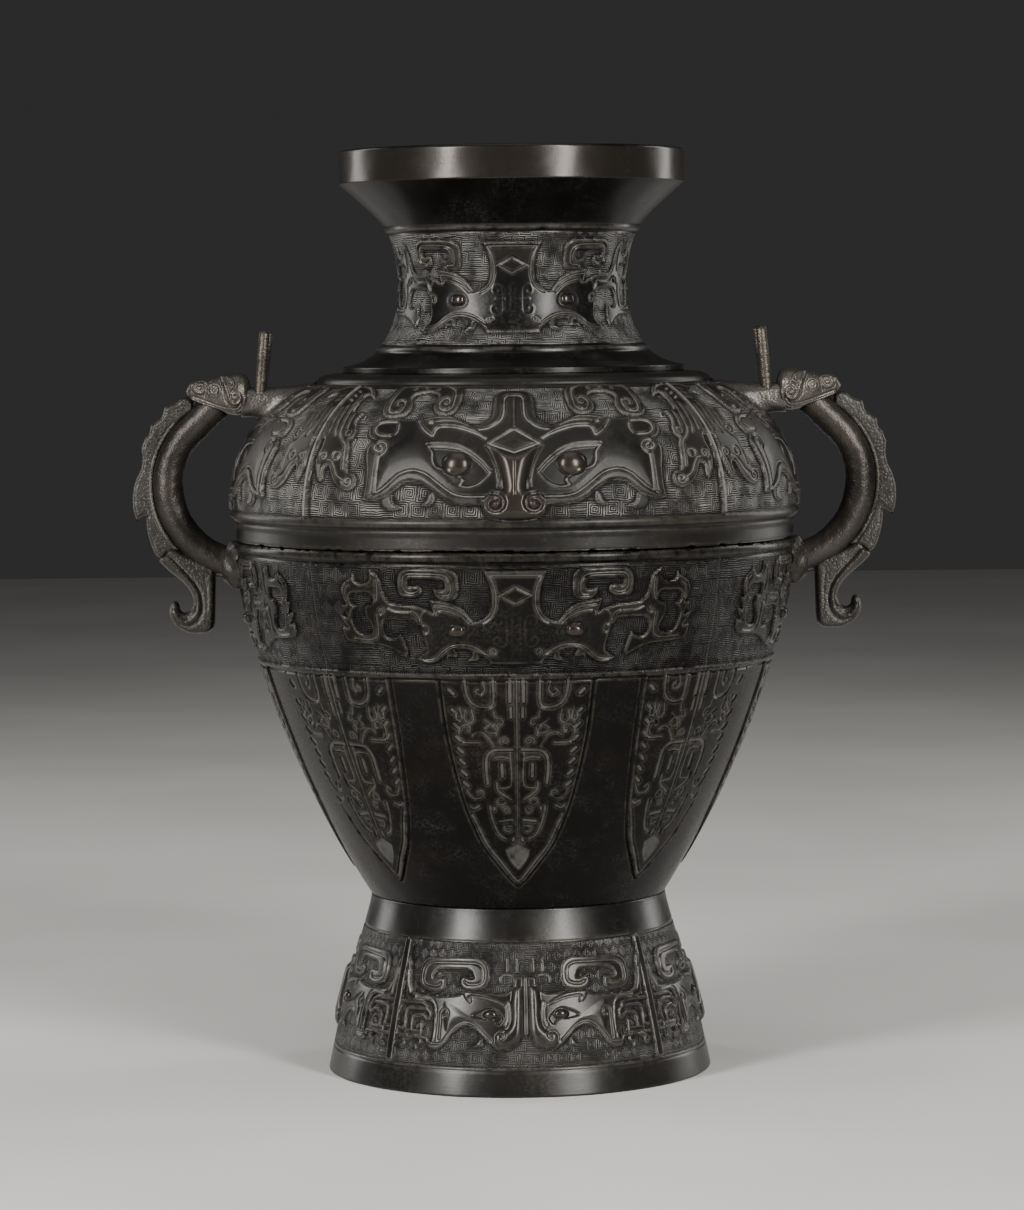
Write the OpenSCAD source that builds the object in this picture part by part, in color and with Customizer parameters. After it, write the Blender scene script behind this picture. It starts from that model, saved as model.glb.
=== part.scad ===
// Bronze lei wine jar: four lapped wall castings, an inset base plate and two dragon handles.
// The origin is the centre of the foot ring's underside, +Z is up and the handles lie along X.
// All sizes are in millimetres.

/* [Mouth and neck] */
// Outside diameter of the mouth rim
rim_d = 169; // [140:1:190]
// Height of the upright lip
rim_h = 16; // [8:0.5:24]
// Width of the lip's flat top face
rim_w = 9; // [6:0.5:14]
// Rounding of the lip's top outer edge
rim_round = 1.5; // [0.5:0.1:3]
// Height of the plain trumpet under the lip
trumpet_h = 24; // [16:0.5:34]
// Diameter at the thin ridge above the neck's mask band
neck_top_d = 121; // [106:1:130]
// Smallest diameter of the neck
neck_waist_d = 111.5; // [96:0.5:116]
// Height of the neck's mask band
neck_band_h = 55; // [40:1:70]
// Diameter at the ridge below the neck's mask band
neck_low_d = 130; // [120:1:140]
// Height of the plain flare under the neck
flare_h = 10; // [6:0.5:16]
// Diameter of the upper step at the foot of the neck
step_d = 167; // [150:1:175]
// Height of the upper step's face
step_h = 3; // [2:0.5:6]
// How far the neck's spigot lies inside the upper step's edge
spigot_in = 5.5; // [4.5:0.25:8]

/* [Shoulder] */
// Outside diameter of the lower step, where the shoulder begins
shoulder_top_d = 197; // [185:1:210]
// Height of the lower step
ledge_h = 5; // [3.5:0.5:8]
// How far the lower step stands in from the top of the shoulder
ledge_in = 2; // [1:0.25:4]
// Height of the shoulder's mask band
shoulder_band_h = 63; // [48:1:80]
// Largest diameter of the jar
body_d = 276; // [256:1:300]
// Height of the plain band between the two waist beads
waist_band_h = 13; // [10:0.5:20]
// How far the waist seam lies inside the jar's widest point
waist_in = 1.5; // [0:0.25:4]

/* [Belly] */
// Height of the belly casting below the waist seam
belly_h = 174; // [140:1:210]
// Height from the waist seam down to the ridge under the belly's mask band
belly_band_h = 58; // [40:1:80]
// Diameter where the belly meets the foot
foot_neck_d = 144.5; // [130:0.5:160]

/* [Foot] */
// Height of the foot
foot_h = 87; // [60:1:110]
// Diameter of the foot at the ground
foot_d = 188.5; // [165:0.5:215]
// Height of the plain band at the ground
base_band_h = 14; // [8:0.5:20]
// Height of the plain collar at the top of the foot
collar_h = 15.5; // [8:0.5:24]
// Turn of the foot casting against the belly, in degrees
foot_turn = 2; // [0:0.5:5]

/* [Walls and fits] */
// Thickness of the cast walls
wall = 4; // [3:0.25:5]
// Overlap of the lapped seams between castings
lap_h = 6; // [4:0.5:9]
// Thickness of the inner ring of each lapped seam
lap_t = 3; // [2:0.25:4]
// Clearance at seams, tenons and sockets
fit_gap = 0.15; // [0.1:0.05:0.4]
// Thickness of the inset base plate
plate_t = 4; // [3:0.5:6]
// Thickness of the ledge that carries the base plate
plate_ledge_t = 4; // [3:0.5:6]
// Width of the ledge that carries the base plate
plate_ledge_w = 6; // [4:0.5:9]

/* [Mouldings] */
// Radius of the two waist beads
bead_r = 2.6; // [2:0.1:3.5]
// How far a waist bead stands out of the wall
bead_proud = 1.1; // [0.6:0.1:1.6]
// Radius of the thin ridges on the neck and belly
ridge_r = 1.4; // [1:0.1:2]
// How far a thin ridge stands out of the wall
ridge_proud = 0.8; // [0.4:0.1:1.2]
// Radius of the scribed grooves
groove_r = 0.6; // [0.4:0.1:1]

/* [Flanges and masks] */
// Thickness of the shoulder's upright flanges, in degrees round the wall
shoulder_flange_a = 0.9; // [0.6:0.1:2]
// Thickness of the foot's upright flanges, in degrees round the wall
foot_flange_a = 2.6; // [1.5:0.1:4]
// How far the flanges stand out of the wall
flange_proud = 1.4; // [0.8:0.1:2.5]
// Radius of the shoulder masks' round eye bosses
eye_r = 6.5; // [5:0.5:8]
// How far an eye boss stands out of the wall
eye_proud = 4.5; // [2.5:0.25:5]
// Angle from a mask's middle to each eye
eye_a = 12; // [9:0.5:15]
// Height of the eyes above the bottom of the shoulder's mask band
eye_up = 27; // [20:0.5:40]
// Radius of the shoulder masks' round nose tip
nose_r = 7; // [5:0.5:9]
// How far the nose tip stands out of the wall
nose_proud = 5; // [3:0.25:6]
// Width of the nose ridge, in degrees round the wall
nose_a = 4; // [2:0.5:6]
// How far the nose ridge stands out of the wall
nose_ridge_proud = 3; // [2:0.25:4]
// Height of the nose ridge's top above the nose tip
nose_ridge_h = 34; // [24:1:44]
// How far the flat fields of the shoulder's masks stand out of the wall
mask_proud = 1.5; // [0.8:0.1:2]
// How far the flat fields of the belly's masks stand out of the wall
flat_proud = 1.2; // [0.6:0.1:1.6]
// How far the hanging blades stand out of the belly
blade_proud = 0.9; // [0.5:0.1:1.4]

/* [Handle bars] */
// Diameter of the round handle bar
bar_d = 14.8; // [12:0.2:18]
// How far the middle of the bar stands out from the wall at its root
bar_stand = 34.5; // [28:0.5:44]
// Height of the bar's widest point above the waist seam
bar_up = 27.5; // [20:0.5:36]
// Bend radius of the lower half, down to the wall
bar_low_r = 40; // [34:0.5:46]
// Bend radius of the upper half, up to the head
bar_up_r = 35; // [30:0.5:42]
// Sweep of the upper bend, in degrees
bar_up_a = 45; // [35:1:55]
// Straight length from the upper bend to the head
bar_neck_l = 18; // [12:0.5:26]
// Diameter of the tenons that hold the handles in the walls
tenon_d = 9; // [6:0.5:11]
// Outside diameter of the soldered collar round the lower root
root_collar_d = 25; // [20:0.5:30]
// Height of the soldered collar out from the wall
root_collar_h = 7; // [4:0.5:10]

/* [Handle heads] */
// Length of the head from its back face to the nose
head_l = 31; // [26:0.5:38]
// Height of the head at its back
head_h = 21; // [16:0.5:26]
// Width of the head at its back
head_w = 25; // [20:0.5:30]
// Width of the snout
snout_w = 15; // [11:0.5:20]
// Height of the snout
snout_h = 10; // [8:0.5:14]
// Slope of the head's underside, in degrees
head_slope = 16; // [8:1:22]
// Bevel of the head's corners
head_bevel = 2; // [1:0.25:3]
// Radius of the scrolled nose
nose_scroll_r = 4.6; // [3:0.2:6]
// How far the nose scroll stands out of each side of the snout
nose_scroll_proud = 0.8; // [0.4:0.1:1.5]
// Radius of the head's eyes
head_eye_r = 3.2; // [2:0.2:4]
// Height from the top of the head down to its eyes
head_eye_drop = 6; // [4:0.5:8]
// Height of the lug between the head and the shoulder
lug_h = 15; // [11:0.5:18]
// Width of the lug
lug_w = 21; // [18:0.5:26]
// Height of the upright ears above the lug
ear_h = 28; // [20:0.5:34]
// Width of an ear at its widest
ear_w = 9; // [7:0.5:10]
// Thickness of an ear
ear_t = 4.5; // [3:0.25:6]
// Lean of the ears towards the neck, in degrees
ear_lean = 6; // [0:1:12]
// Space between the ears and the back of the head
ear_space = 1; // [0.5:0.25:2]
// Depth of the pegs between the pieces of a handle
peg_h = 5; // [3:0.5:7]
// Diameter of the round pegs between the pieces of a handle
peg_d = 7; // [5:0.5:9]

/* [Handle crests and tails] */
// Thickness of the crest plate
crest_t = 6; // [4:0.5:8]
// Thickness of the tail plate
tail_t = 8; // [5:0.5:10]
// Height of the crest's highest lobe above the bar
crest_h = 11; // [8:0.5:12]
// Angle round the upper bend where the crest begins
crest_start_a = 59; // [52:1:62]
// Angle round the lower bend where the crest ends and the tail begins
crest_end_a = 45; // [35:1:52]
// Length of the tail below the bar
tail_l = 38; // [30:0.5:44]
// Width of the tail from its inner edge to the back of its hook
tail_w = 23; // [18:0.5:28]

/* [Hidden] */
$fn = 96;
dark_bronze = [0.20, 0.17, 0.14];
worn_bronze = [0.34, 0.28, 0.20];
rough_bronze = [0.15, 0.13, 0.11];
solder_grey = [0.30, 0.29, 0.27];
// A length that is longer than the whole jar, for cutting
far = 2000;
// Diameter at the waist seam
waist_d = body_d - 2 * waist_in;
// Heights of the seams, from the ground up
belly_z = foot_h;
ridge_z = foot_h + belly_h - belly_band_h;
waist_z = foot_h + belly_h;
band_z = waist_z + waist_band_h;
ledge_z = band_z + shoulder_band_h;
neck_z = ledge_z + ledge_h;
flare_z = neck_z + step_h;
neck_low_z = flare_z + flare_h;
neck_top_z = neck_low_z + neck_band_h;
lip_z = neck_top_z + trumpet_h;
rim_z = lip_z + rim_h;
// Number of straight pieces in each curve of a wall
curve_n = 14;

// A cubic curve between two points with two guide points
function curve(a, b, c, d) = [
    for (i = [0:curve_n])
        let (t = i / curve_n, u = 1 - t)
            u * u * u * a + 3 * u * u * t * b + 3 * u * t * t * c + t * t * t * d
];

// A wall's curve between two ends, its guide points given as shares of the way across and up
function wall_curve(a, d, g) = curve(
    a,
    [a.x + g[0] * (d.x - a.x), a.y + g[1] * (d.y - a.y)],
    [a.x + g[2] * (d.x - a.x), a.y + g[3] * (d.y - a.y)],
    d);

// The same points moved square to the curve: out of the wall when d is positive
function moved(p, d) = [
    for (i = [0:len(p) - 1])
        let (q = p[min(i + 1, len(p) - 1)] - p[max(i - 1, 0)])
            p[i] + d * [q.y, -q.x] / norm(q)
];

// The points of a list that lie between two heights
function between(p, low, high) = [for (q = p) if (q.y > low && q.y < high) q];

// A list without its first point, to go on from where another list ends
function after_first(p) = [for (i = [1:len(p) - 1]) p[i]];

// A list from its last point to its first
function turned(p) = [for (i = [len(p) - 1:-1:0]) p[i]];

// The radius of a wall's curve at a height
function radius_at(p, z) = lookup(z, [for (q = p) [q.y, q.x]]);

// A point at an angle and distance from another in the plane of the handles
function polar(c, a, r) = c + r * [cos(a), sin(a)];

// A smooth closed outline through a few points, with four steps from each to the next
function smooth(p) = [
    for (i = [0:len(p) - 1], k = [0:3])
        let (n = len(p), a = p[(i + n - 1) % n], b = p[i], c = p[(i + 1) % n], d = p[(i + 2) % n],
             t = k / 4)
            0.5 * (2 * b + (c - a) * t + (2 * a - 5 * b + 4 * c - d) * t * t
                + (3 * b - a - 3 * c + d) * t * t * t)
];

// Guide points of the walls, each as shares of the way across and up
foot_guides = [0.4, 0.53, 0.92, 0.85];
belly_guides = [0.464, 0.27, 0.96, 0.68];
shoulder_guides = [-0.025, 0.47, 0.355, 0.82];
ledge_guides = [0, 0.6, 0.25, 1];
flare_guides = [0.486, 0.12, 0.865, 0.5];
trumpet_guides = [0.19, 0.33, 0.625, 0.67];
neck_guide_low = 0.27;
neck_guide_top = 0.71;
neck_lean = 0.018;

// Outer curves of the four castings, each from its lower end to its upper end
foot_curve = wall_curve([foot_d / 2, 0], [foot_neck_d / 2, foot_h], foot_guides);
belly_curve = wall_curve([foot_neck_d / 2, belly_z], [waist_d / 2, waist_z], belly_guides);
shoulder_curve = wall_curve([body_d / 2, band_z], [shoulder_top_d / 2, ledge_z], shoulder_guides);
waist_curve = [[waist_d / 2, waist_z], [waist_d / 2, waist_z + waist_band_h / 2], [body_d / 2, band_z]];
flare_curve = wall_curve([step_d / 2, flare_z], [neck_low_d / 2, neck_low_z], flare_guides);
// The guide points that bring the middle of the neck to its smallest diameter
neck_guide_r = (8 * neck_waist_d / 2 - neck_top_d / 2 - neck_low_d / 2) / 6;
neck_curve = curve(
    [neck_low_d / 2, neck_low_z],
    [neck_guide_r * (1 - neck_lean), neck_low_z + neck_guide_low * neck_band_h],
    [neck_guide_r * (1 + neck_lean), neck_low_z + neck_guide_top * neck_band_h],
    [neck_top_d / 2, neck_top_z]);
trumpet_curve = wall_curve([neck_top_d / 2, neck_top_z], [rim_d / 2, lip_z], trumpet_guides);

// Rings of the lapped seams
waist_lap_r = waist_d / 2 - wall - fit_gap;
foot_lap_r = foot_neck_d / 2 - wall - fit_gap;
neck_bore_r = step_d / 2 - spigot_in;
neck_lap_r = neck_bore_r - fit_gap;
plate_seat_z = belly_z + plate_ledge_t;
plate_top_z = plate_seat_z + plate_t;
plate_ledge_r = foot_lap_r - lap_t - plate_ledge_w;
plate_r = plate_ledge_r + plate_ledge_w - fit_gap;

// A solid turned from the jar's axis out to a wall's curve
module turned_solid(p) {
    rotate_extrude() polygon(concat([[0, p[0].y]], p, [[0, p[len(p) - 1].y]]));
}

// The jar's outer skin as one solid, grown by a gap, which trims what is fixed against it
module skin(gap) {
    turned_solid(moved(concat(belly_curve, [waist_curve[1]], shoulder_curve), gap), $fn = 360);
}

// A ring of round section on a wall: it stands out by proud, or cuts in where it is subtracted
module ring(p, z, r, proud) {
    rotate_extrude() translate([radius_at(p, z) + proud - r, z]) circle(r, $fn = 32);
}

// Upright flanges on a wall's curve, midway between the four masks
module flanges(p, a) {
    for (k = [0:3])
        rotate([0, 0, 45 + 90 * k - a / 2])
            rotate_extrude(angle = a)
                polygon(concat(moved(p, -wall / 2), turned(moved(p, flange_proud))));
}

// Outlines of the ornament: each point in degrees from the middle and as a share of the band's height
// Half the face of a shoulder mask, from the brow down to the jaw
mask_face = [
    [4, 0.94], [4.5, 0.79], [7, 0.72], [15.5, 0.77], [30.5, 0.74], [32, 0.67], [30, 0.61], [31, 0.52],
    [30, 0.25], [30.5, 0.18], [25, 0.21], [20.5, 0.31], [16.5, 0.26], [12.5, 0.16], [6, 0.14], [5.5, 0.08]
];
// The curled horn over the brow of a shoulder mask
mask_horn = [
    [13, 0.86], [13.5, 0.95], [17, 0.97], [27.5, 0.97], [31.5, 0.94], [31, 0.82], [27, 0.77],
    [24.5, 0.82], [25.5, 0.9], [22, 0.93], [18.5, 0.9], [19, 0.85], [16.5, 0.79]
];
// The upright dragon beside each shoulder flange
mask_dragon = [
    [8.5, 0.9], [4.5, 0.96], [1.5, 0.97], [1.5, 0.62], [2, 0.39], [3.5, 0.31], [4.5, 0.41], [7.5, 0.3],
    [10.5, 0.25], [12, 0.31], [10, 0.38], [8.5, 0.58], [8.5, 0.79], [5.5, 0.8], [5, 0.91]
];
// Half the face of a belly mask
flat_face = [
    [6, 0.85], [4.5, 0.71], [4.5, 0.57], [6.5, 0.46], [8.5, 0.44], [12, 0.57], [17, 0.62], [17, 0.52],
    [19, 0.49], [18.5, 0.23], [21, 0.14], [18.5, 0.11], [15, 0.18], [11.5, 0.23], [8, 0.2], [5.5, 0.11]
];
// The squared horn over the brow of a belly mask
flat_horn = [
    [11.5, 0.67], [12, 0.84], [14, 0.86], [22, 0.86], [23.5, 0.77], [23, 0.65], [19, 0.65], [19, 0.72],
    [21.5, 0.73], [21.5, 0.8], [14.5, 0.79], [14, 0.71], [16.5, 0.71], [14.5, 0.63]
];
// The coiled dragon at the side of a belly mask
flat_dragon = [
    [20.5, 0.55], [25.5, 0.59], [27.5, 0.74], [30, 0.85], [30, 0.75], [33.5, 0.81], [36.5, 0.69],
    [36, 0.57], [37.5, 0.47], [37, 0.28], [29, 0.25], [23.5, 0.15], [24, 0.34], [26, 0.3], [28, 0.38],
    [26.5, 0.46], [20.5, 0.46]
];
// The open middle of that dragon's coil
flat_dragon_gap = [
    [29.5, 0.63], [35, 0.65], [34, 0.55], [35, 0.49], [33.5, 0.35], [30.5, 0.34], [31.5, 0.52]
];
// One edge of a hanging blade, from its top corner to its tip
blade_edge = [[16.5, 0.96], [15.5, 0.68], [13.5, 0.46], [10, 0.28], [0.5, 0.11]];
// Where the outlines start to cut outwards, as a share of the jar's largest diameter
punch_start = 0.27;

// An outline's mirror image, and a half outline joined to its mirror image
function flipped(q) = [for (v = q) [-v.x, v.y]];
function doubled(q) = concat(q, turned(flipped(q)));

// An outline of the ornament as it is seen square on, between two heights of a wall's curve
function seen(p, low, high, q) = [
    for (v = q)
        let (z = low + v.y * (high - low))
            [radius_at(p, z) * sin(v.x), z]
];

// A bar of an outline's shape that runs outwards at an angle round the jar
module punch(p, low, high, q, a) {
    rotate([0, 0, a]) rotate([90, 0, 90])
        translate([0, 0, punch_start * body_d]) linear_extrude(body_d) polygon(seen(p, low, high, q));
}

// A flat field of an outline's shape that stands out of a wall's curve
module field(p, proud, low, high, q, a) {
    intersection() {
        rotate_extrude() polygon(concat(moved(p, -wall / 2), turned(moved(p, proud))));
        punch(p, low, high, q, a);
    }
}

// Faces, horns and side dragons of the shoulder's four masks
module shoulder_fields() {
    for (k = [0:3]) {
        field(shoulder_curve, mask_proud, band_z, ledge_z, doubled(mask_face), 90 * k);
        for (q = [mask_horn, flipped(mask_horn)])
            field(shoulder_curve, mask_proud, band_z, ledge_z, q, 90 * k);
        for (q = [mask_dragon, flipped(mask_dragon)])
            field(shoulder_curve, mask_proud, band_z, ledge_z, q, 45 + 90 * k);
    }
}

// The room that the ornament leaves for a lug
module lug_room() {
    translate([lug_wall_r - lug_h, -lug_w / 2 - fit_gap, lug_z - lug_h / 2 - fit_gap])
        cube([body_d, lug_w + 2 * fit_gap, lug_h + 2 * fit_gap]);
}

// Faces, horns and dragon bodies of the belly's four masks, clear of the root collars
module belly_fields() {
    difference() {
        for (k = [0:3]) {
            field(belly_curve, flat_proud, ridge_z, waist_z, doubled(flat_face), 90 * k);
            for (q = [flat_horn, flipped(flat_horn)])
                field(belly_curve, flat_proud, ridge_z, waist_z, q, 90 * k);
            difference() {
                for (q = [flat_dragon, flipped(flat_dragon)])
                    field(belly_curve, flat_proud, ridge_z, waist_z, q, 90 * k);
                for (q = [flat_dragon_gap, flipped(flat_dragon_gap)])
                    punch(belly_curve, ridge_z, waist_z, q, 90 * k);
            }
        }
        for (side = [0, 180])
            rotate([0, 0, side]) translate([0, 0, root_z])
                rotate([0, 90, 0]) cylinder(h = body_d, r = root_collar_d / 2 + fit_gap);
    }
}

// The eight blades that hang below the belly's ridge
module hanging_blades() {
    for (k = [0:7])
        field(belly_curve, blade_proud, belly_z, ridge_z, doubled(blade_edge), 45 * k);
}

// A round boss on a wall's curve at an angle round the jar
module boss(p, z, r, proud, a) {
    rotate([0, 0, a]) translate([radius_at(p, z) + proud - r, 0, z]) sphere(r, $fn = 48);
}

// Eyes, nose tip and nose ridge of the front and back shoulder masks; those under the handles stay flat
module mask_bosses() {
    nose_z = band_z + nose_r + bead_r;
    ridge = between(shoulder_curve, nose_z, nose_z + nose_ridge_h);
    for (k = [1, 3]) {
        for (side = [-1, 1])
            boss(shoulder_curve, band_z + eye_up, eye_r, eye_proud, 90 * k + side * eye_a);
        boss(shoulder_curve, nose_z, nose_r, nose_proud, 90 * k);
        rotate([0, 0, 90 * k - nose_a / 2])
            rotate_extrude(angle = nose_a)
                polygon(concat(moved(ridge, -wall / 2), turned(moved(ridge, nose_ridge_proud))));
    }
}

// Neck casting: lip, trumpet, mask band, flare and upper step, with a spigot into the shoulder
module neck() {
    outer = concat(flare_curve, after_first(neck_curve), after_first(trumpet_curve));
    lip_r = rim_d / 2;
    inner = turned(moved(outer, -wall));
    bore_r = min(lip_r - rim_w, neck_lap_r - lap_t);
    bore = [for (q = between(inner, neck_z + wall, rim_z)) if (q.x < bore_r) q];
    color(dark_bronze)
        difference() {
            union() {
                rotate_extrude()
                    polygon(concat(
                        [[step_d / 2, neck_z]],
                        outer,
                        [[lip_r, rim_z - rim_round], [lip_r - rim_round, rim_z], [lip_r - rim_w, rim_z]],
                        bore,
                        [[neck_lap_r - lap_t, neck_z], [neck_lap_r - lap_t, neck_z - lap_h],
                         [neck_lap_r, neck_z - lap_h], [neck_lap_r, neck_z]]));
                ring(trumpet_curve, neck_top_z + ridge_r, ridge_r, ridge_proud);
                ring(flare_curve, neck_low_z - ridge_r, ridge_r, ridge_proud);
            }
            ring(neck_curve, neck_top_z - groove_r, groove_r, groove_r / 2);
            ring(neck_curve, neck_low_z + groove_r, groove_r, groove_r / 2);
        }
}

// Shoulder casting: lower step, mask band with flanges, fields and bosses, upper bead and plain waist band
module shoulder() {
    outer = concat([waist_curve[0], waist_curve[1]], shoulder_curve);
    inner = between(moved(outer, -wall), waist_z + waist_band_h / 4, ledge_z - wall);
    top_r = shoulder_top_d / 2;
    ledge_r = (step_d + ledge_in) / 2;
    ledge_round = wall_curve([top_r - ledge_in, ledge_z], [ledge_r, neck_z], ledge_guides);
    color(dark_bronze)
        difference() {
            union() {
                rotate_extrude()
                    polygon(concat(
                        outer,
                        ledge_round,
                        [[neck_bore_r, neck_z], [neck_bore_r, ledge_z - wall / 2]],
                        turned(inner),
                        [[waist_d / 2 - wall, waist_z]]));
                ring(shoulder_curve, band_z, bead_r, bead_proud);
                flanges(shoulder_curve, shoulder_flange_a);
                difference() {
                    union() {
                        shoulder_fields();
                        mask_bosses();
                    }
                    for (side = [0, 180])
                        rotate([0, 0, side]) lug_room();
                }
            }
            ring(shoulder_curve, ledge_z - groove_r, groove_r, groove_r / 2);
            ring(waist_curve, band_z - bead_r - groove_r, groove_r, groove_r / 2);
            for (side = [0, 180])
                rotate([0, 0, side]) lug_tenon(fit_gap);
        }
}

// Belly casting: lower bead, mask band, ridge and hanging blades, lapped into shoulder and foot
module belly() {
    inner = between(moved(belly_curve, -wall), plate_top_z + wall / 2, waist_z - lap_h);
    color(dark_bronze)
        difference() {
            union() {
                rotate_extrude()
                    polygon(concat(
                        belly_curve,
                        [[waist_lap_r, waist_z], [waist_lap_r, waist_z + lap_h],
                         [waist_lap_r - lap_t, waist_z + lap_h], [waist_lap_r - lap_t, waist_z]],
                        turned(inner),
                        [[plate_r + fit_gap, plate_top_z + fit_gap], [plate_r + fit_gap, plate_seat_z],
                         [plate_ledge_r, plate_seat_z], [plate_ledge_r, belly_z - lap_h],
                         [foot_lap_r, belly_z - lap_h], [foot_lap_r, belly_z]]));
                belly_bead(0);
                ring(belly_curve, ridge_z, ridge_r, ridge_proud);
                belly_fields();
                hanging_blades();
            }
            ring(belly_curve, waist_z - 2 * bead_r - groove_r, groove_r, groove_r / 2);
            ring(belly_curve, ridge_z - ridge_r - groove_r, groove_r, groove_r / 2);
            for (side = [0, 180])
                rotate([0, 0, side]) root_tenon(fit_gap);
        }
}

// The bead at the top of the belly, grown by a gap
module belly_bead(gap) {
    ring(belly_curve, waist_z - bead_r, bead_r + gap, bead_proud + gap);
}

// Foot casting: collar, mask band with flanges, and the plain band that stands on the ground
module foot() {
    inner = moved(foot_curve, -wall);
    last = len(inner) - 1;
    bore = [for (i = [1:last - 1]) inner[i]];
    band = between(foot_curve, base_band_h, foot_h - collar_h);
    color(worn_bronze)
        rotate([0, 0, foot_turn])
            difference() {
                union() {
                    rotate_extrude()
                        polygon(concat(
                            foot_curve,
                            [[foot_neck_d / 2 - wall, foot_h]],
                            turned(bore),
                            [[foot_d / 2 - wall, 0]]));
                    flanges(band, foot_flange_a);
                }
                ring(foot_curve, base_band_h, groove_r, groove_r / 2);
                ring(foot_curve, base_band_h - 3 * groove_r, groove_r, groove_r / 2);
                ring(foot_curve, foot_h - collar_h, groove_r, groove_r / 2);
            }
}

// Base plate: the jar's floor, dropped on the ledge at the bottom of the belly
module base_plate() {
    color(rough_bronze)
        translate([0, 0, plate_seat_z]) cylinder(h = plate_t, r = plate_r);
}

// How far pegs and tenons run on past a face
past = 1;
// Depth of the lug's tenon into the sloping shoulder, in wall thicknesses
lug_tenon_walls = 2.5;
// Place of the bar's end under the head, as a share of the head's length from its back
head_seat = 0.58;
// Ends of the head's flat brow and of its full width, as shares of its length from its back
brow_back = 0.3;
brow_front = 0.65;
cheek_end = 0.45;
// Angles round the lower bend where the tail hangs and where its root ends
tail_hang_a = 62;
tail_root_a = 66;
// Angle that leaves the fit gap between the crest's end and the tail
tail_gap_a = asin(2 * fit_gap / bar_low_r);

// Places on the right handle, as radius from the jar's axis and height
bar_mid_z = waist_z + bar_up;
root_z = bar_mid_z - bar_low_r;
root_wall_r = radius_at(belly_curve, root_z);
bar_reach = root_wall_r + bar_stand;
low_c = [bar_reach - bar_low_r, bar_mid_z];
up_c = [bar_reach - bar_up_r, bar_mid_z];
up_end = polar(up_c, bar_up_a, bar_up_r);
seat = up_end + bar_neck_l * [-sin(bar_up_a), cos(bar_up_a)];
head_back = seat.x - head_seat * head_l;
head_nose = head_back + head_l;
// Heights of the head's sloping underside at its back and at its nose
head_low = seat.y - (seat.x - head_back) * tan(head_slope);
head_front = seat.y + (head_nose - seat.x) * tan(head_slope);
lug_z = head_low + lug_h / 2;
lug_top = lug_z + lug_h / 2;
lug_wall_r = radius_at(shoulder_curve, lug_z);

// An outline in the plane of the handles, as a plate of a given thickness
module plate(p, t) {
    rotate([90, 0, 0]) linear_extrude(t, center = true) polygon(p);
}

// The bar's round rod along its two bends, grown by a gap
module rod(gap) {
    r = bar_d / 2 + gap;
    translate([bar_reach, 0, bar_mid_z]) rotate([90, 0, 0]) {
        translate([-bar_low_r, 0, 0]) rotate([0, 0, -90])
            rotate_extrude(angle = 90) translate([bar_low_r, 0]) circle(r, $fn = 48);
        translate([-bar_up_r, 0, 0]) {
            rotate_extrude(angle = bar_up_a) translate([bar_up_r, 0]) circle(r, $fn = 48);
            rotate([0, 0, bar_up_a]) translate([bar_up_r, 0, 0])
                rotate([-90, 0, 0]) cylinder(h = bar_neck_l + bar_d, r = r, $fn = 48);
        }
    }
}

// Tenon of the lower root, through the belly wall
module root_tenon(gap) {
    start = root_wall_r - wall - past;
    translate([start, 0, root_z])
        rotate([0, 90, 0]) cylinder(h = wall + past + bar_d / 2, r = tenon_d / 2 + gap, $fn = 48);
}

// Tenon of the upper lug, through the shoulder wall
module lug_tenon(gap) {
    start = lug_wall_r - lug_tenon_walls * wall;
    translate([start, 0, lug_z])
        rotate([0, 90, 0]) cylinder(h = head_back - start - peg_h, r = tenon_d / 2 + gap, $fn = 48);
}

// Peg that goes up from the bar's end into the head
module bar_peg(gap) {
    translate([seat.x, 0, seat.y])
        rotate([0, -head_slope, 0])
            translate([0, 0, -past]) cylinder(h = peg_h + past + gap, r = peg_d / 2 + gap, $fn = 48);
}

// Peg that goes out from the lug into the head's back
module lug_peg(gap) {
    translate([head_back - past, 0, lug_z])
        rotate([0, 90, 0]) cylinder(h = peg_h + past + gap, r = peg_d / 2 + gap, $fn = 48);
}

// Everything above the head's sloping underside
module above_seat() {
    translate([seat.x, 0, seat.y])
        rotate([0, -head_slope, 0])
            translate([-far / 2, -far / 2, 0]) cube(far);
}

module handle_bar() {
    color(worn_bronze) {
        difference() {
            rod(0);
            skin(fit_gap);
            belly_bead(fit_gap);
            above_seat();
        }
        root_tenon(0);
        bar_peg(0);
    }
}

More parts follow.
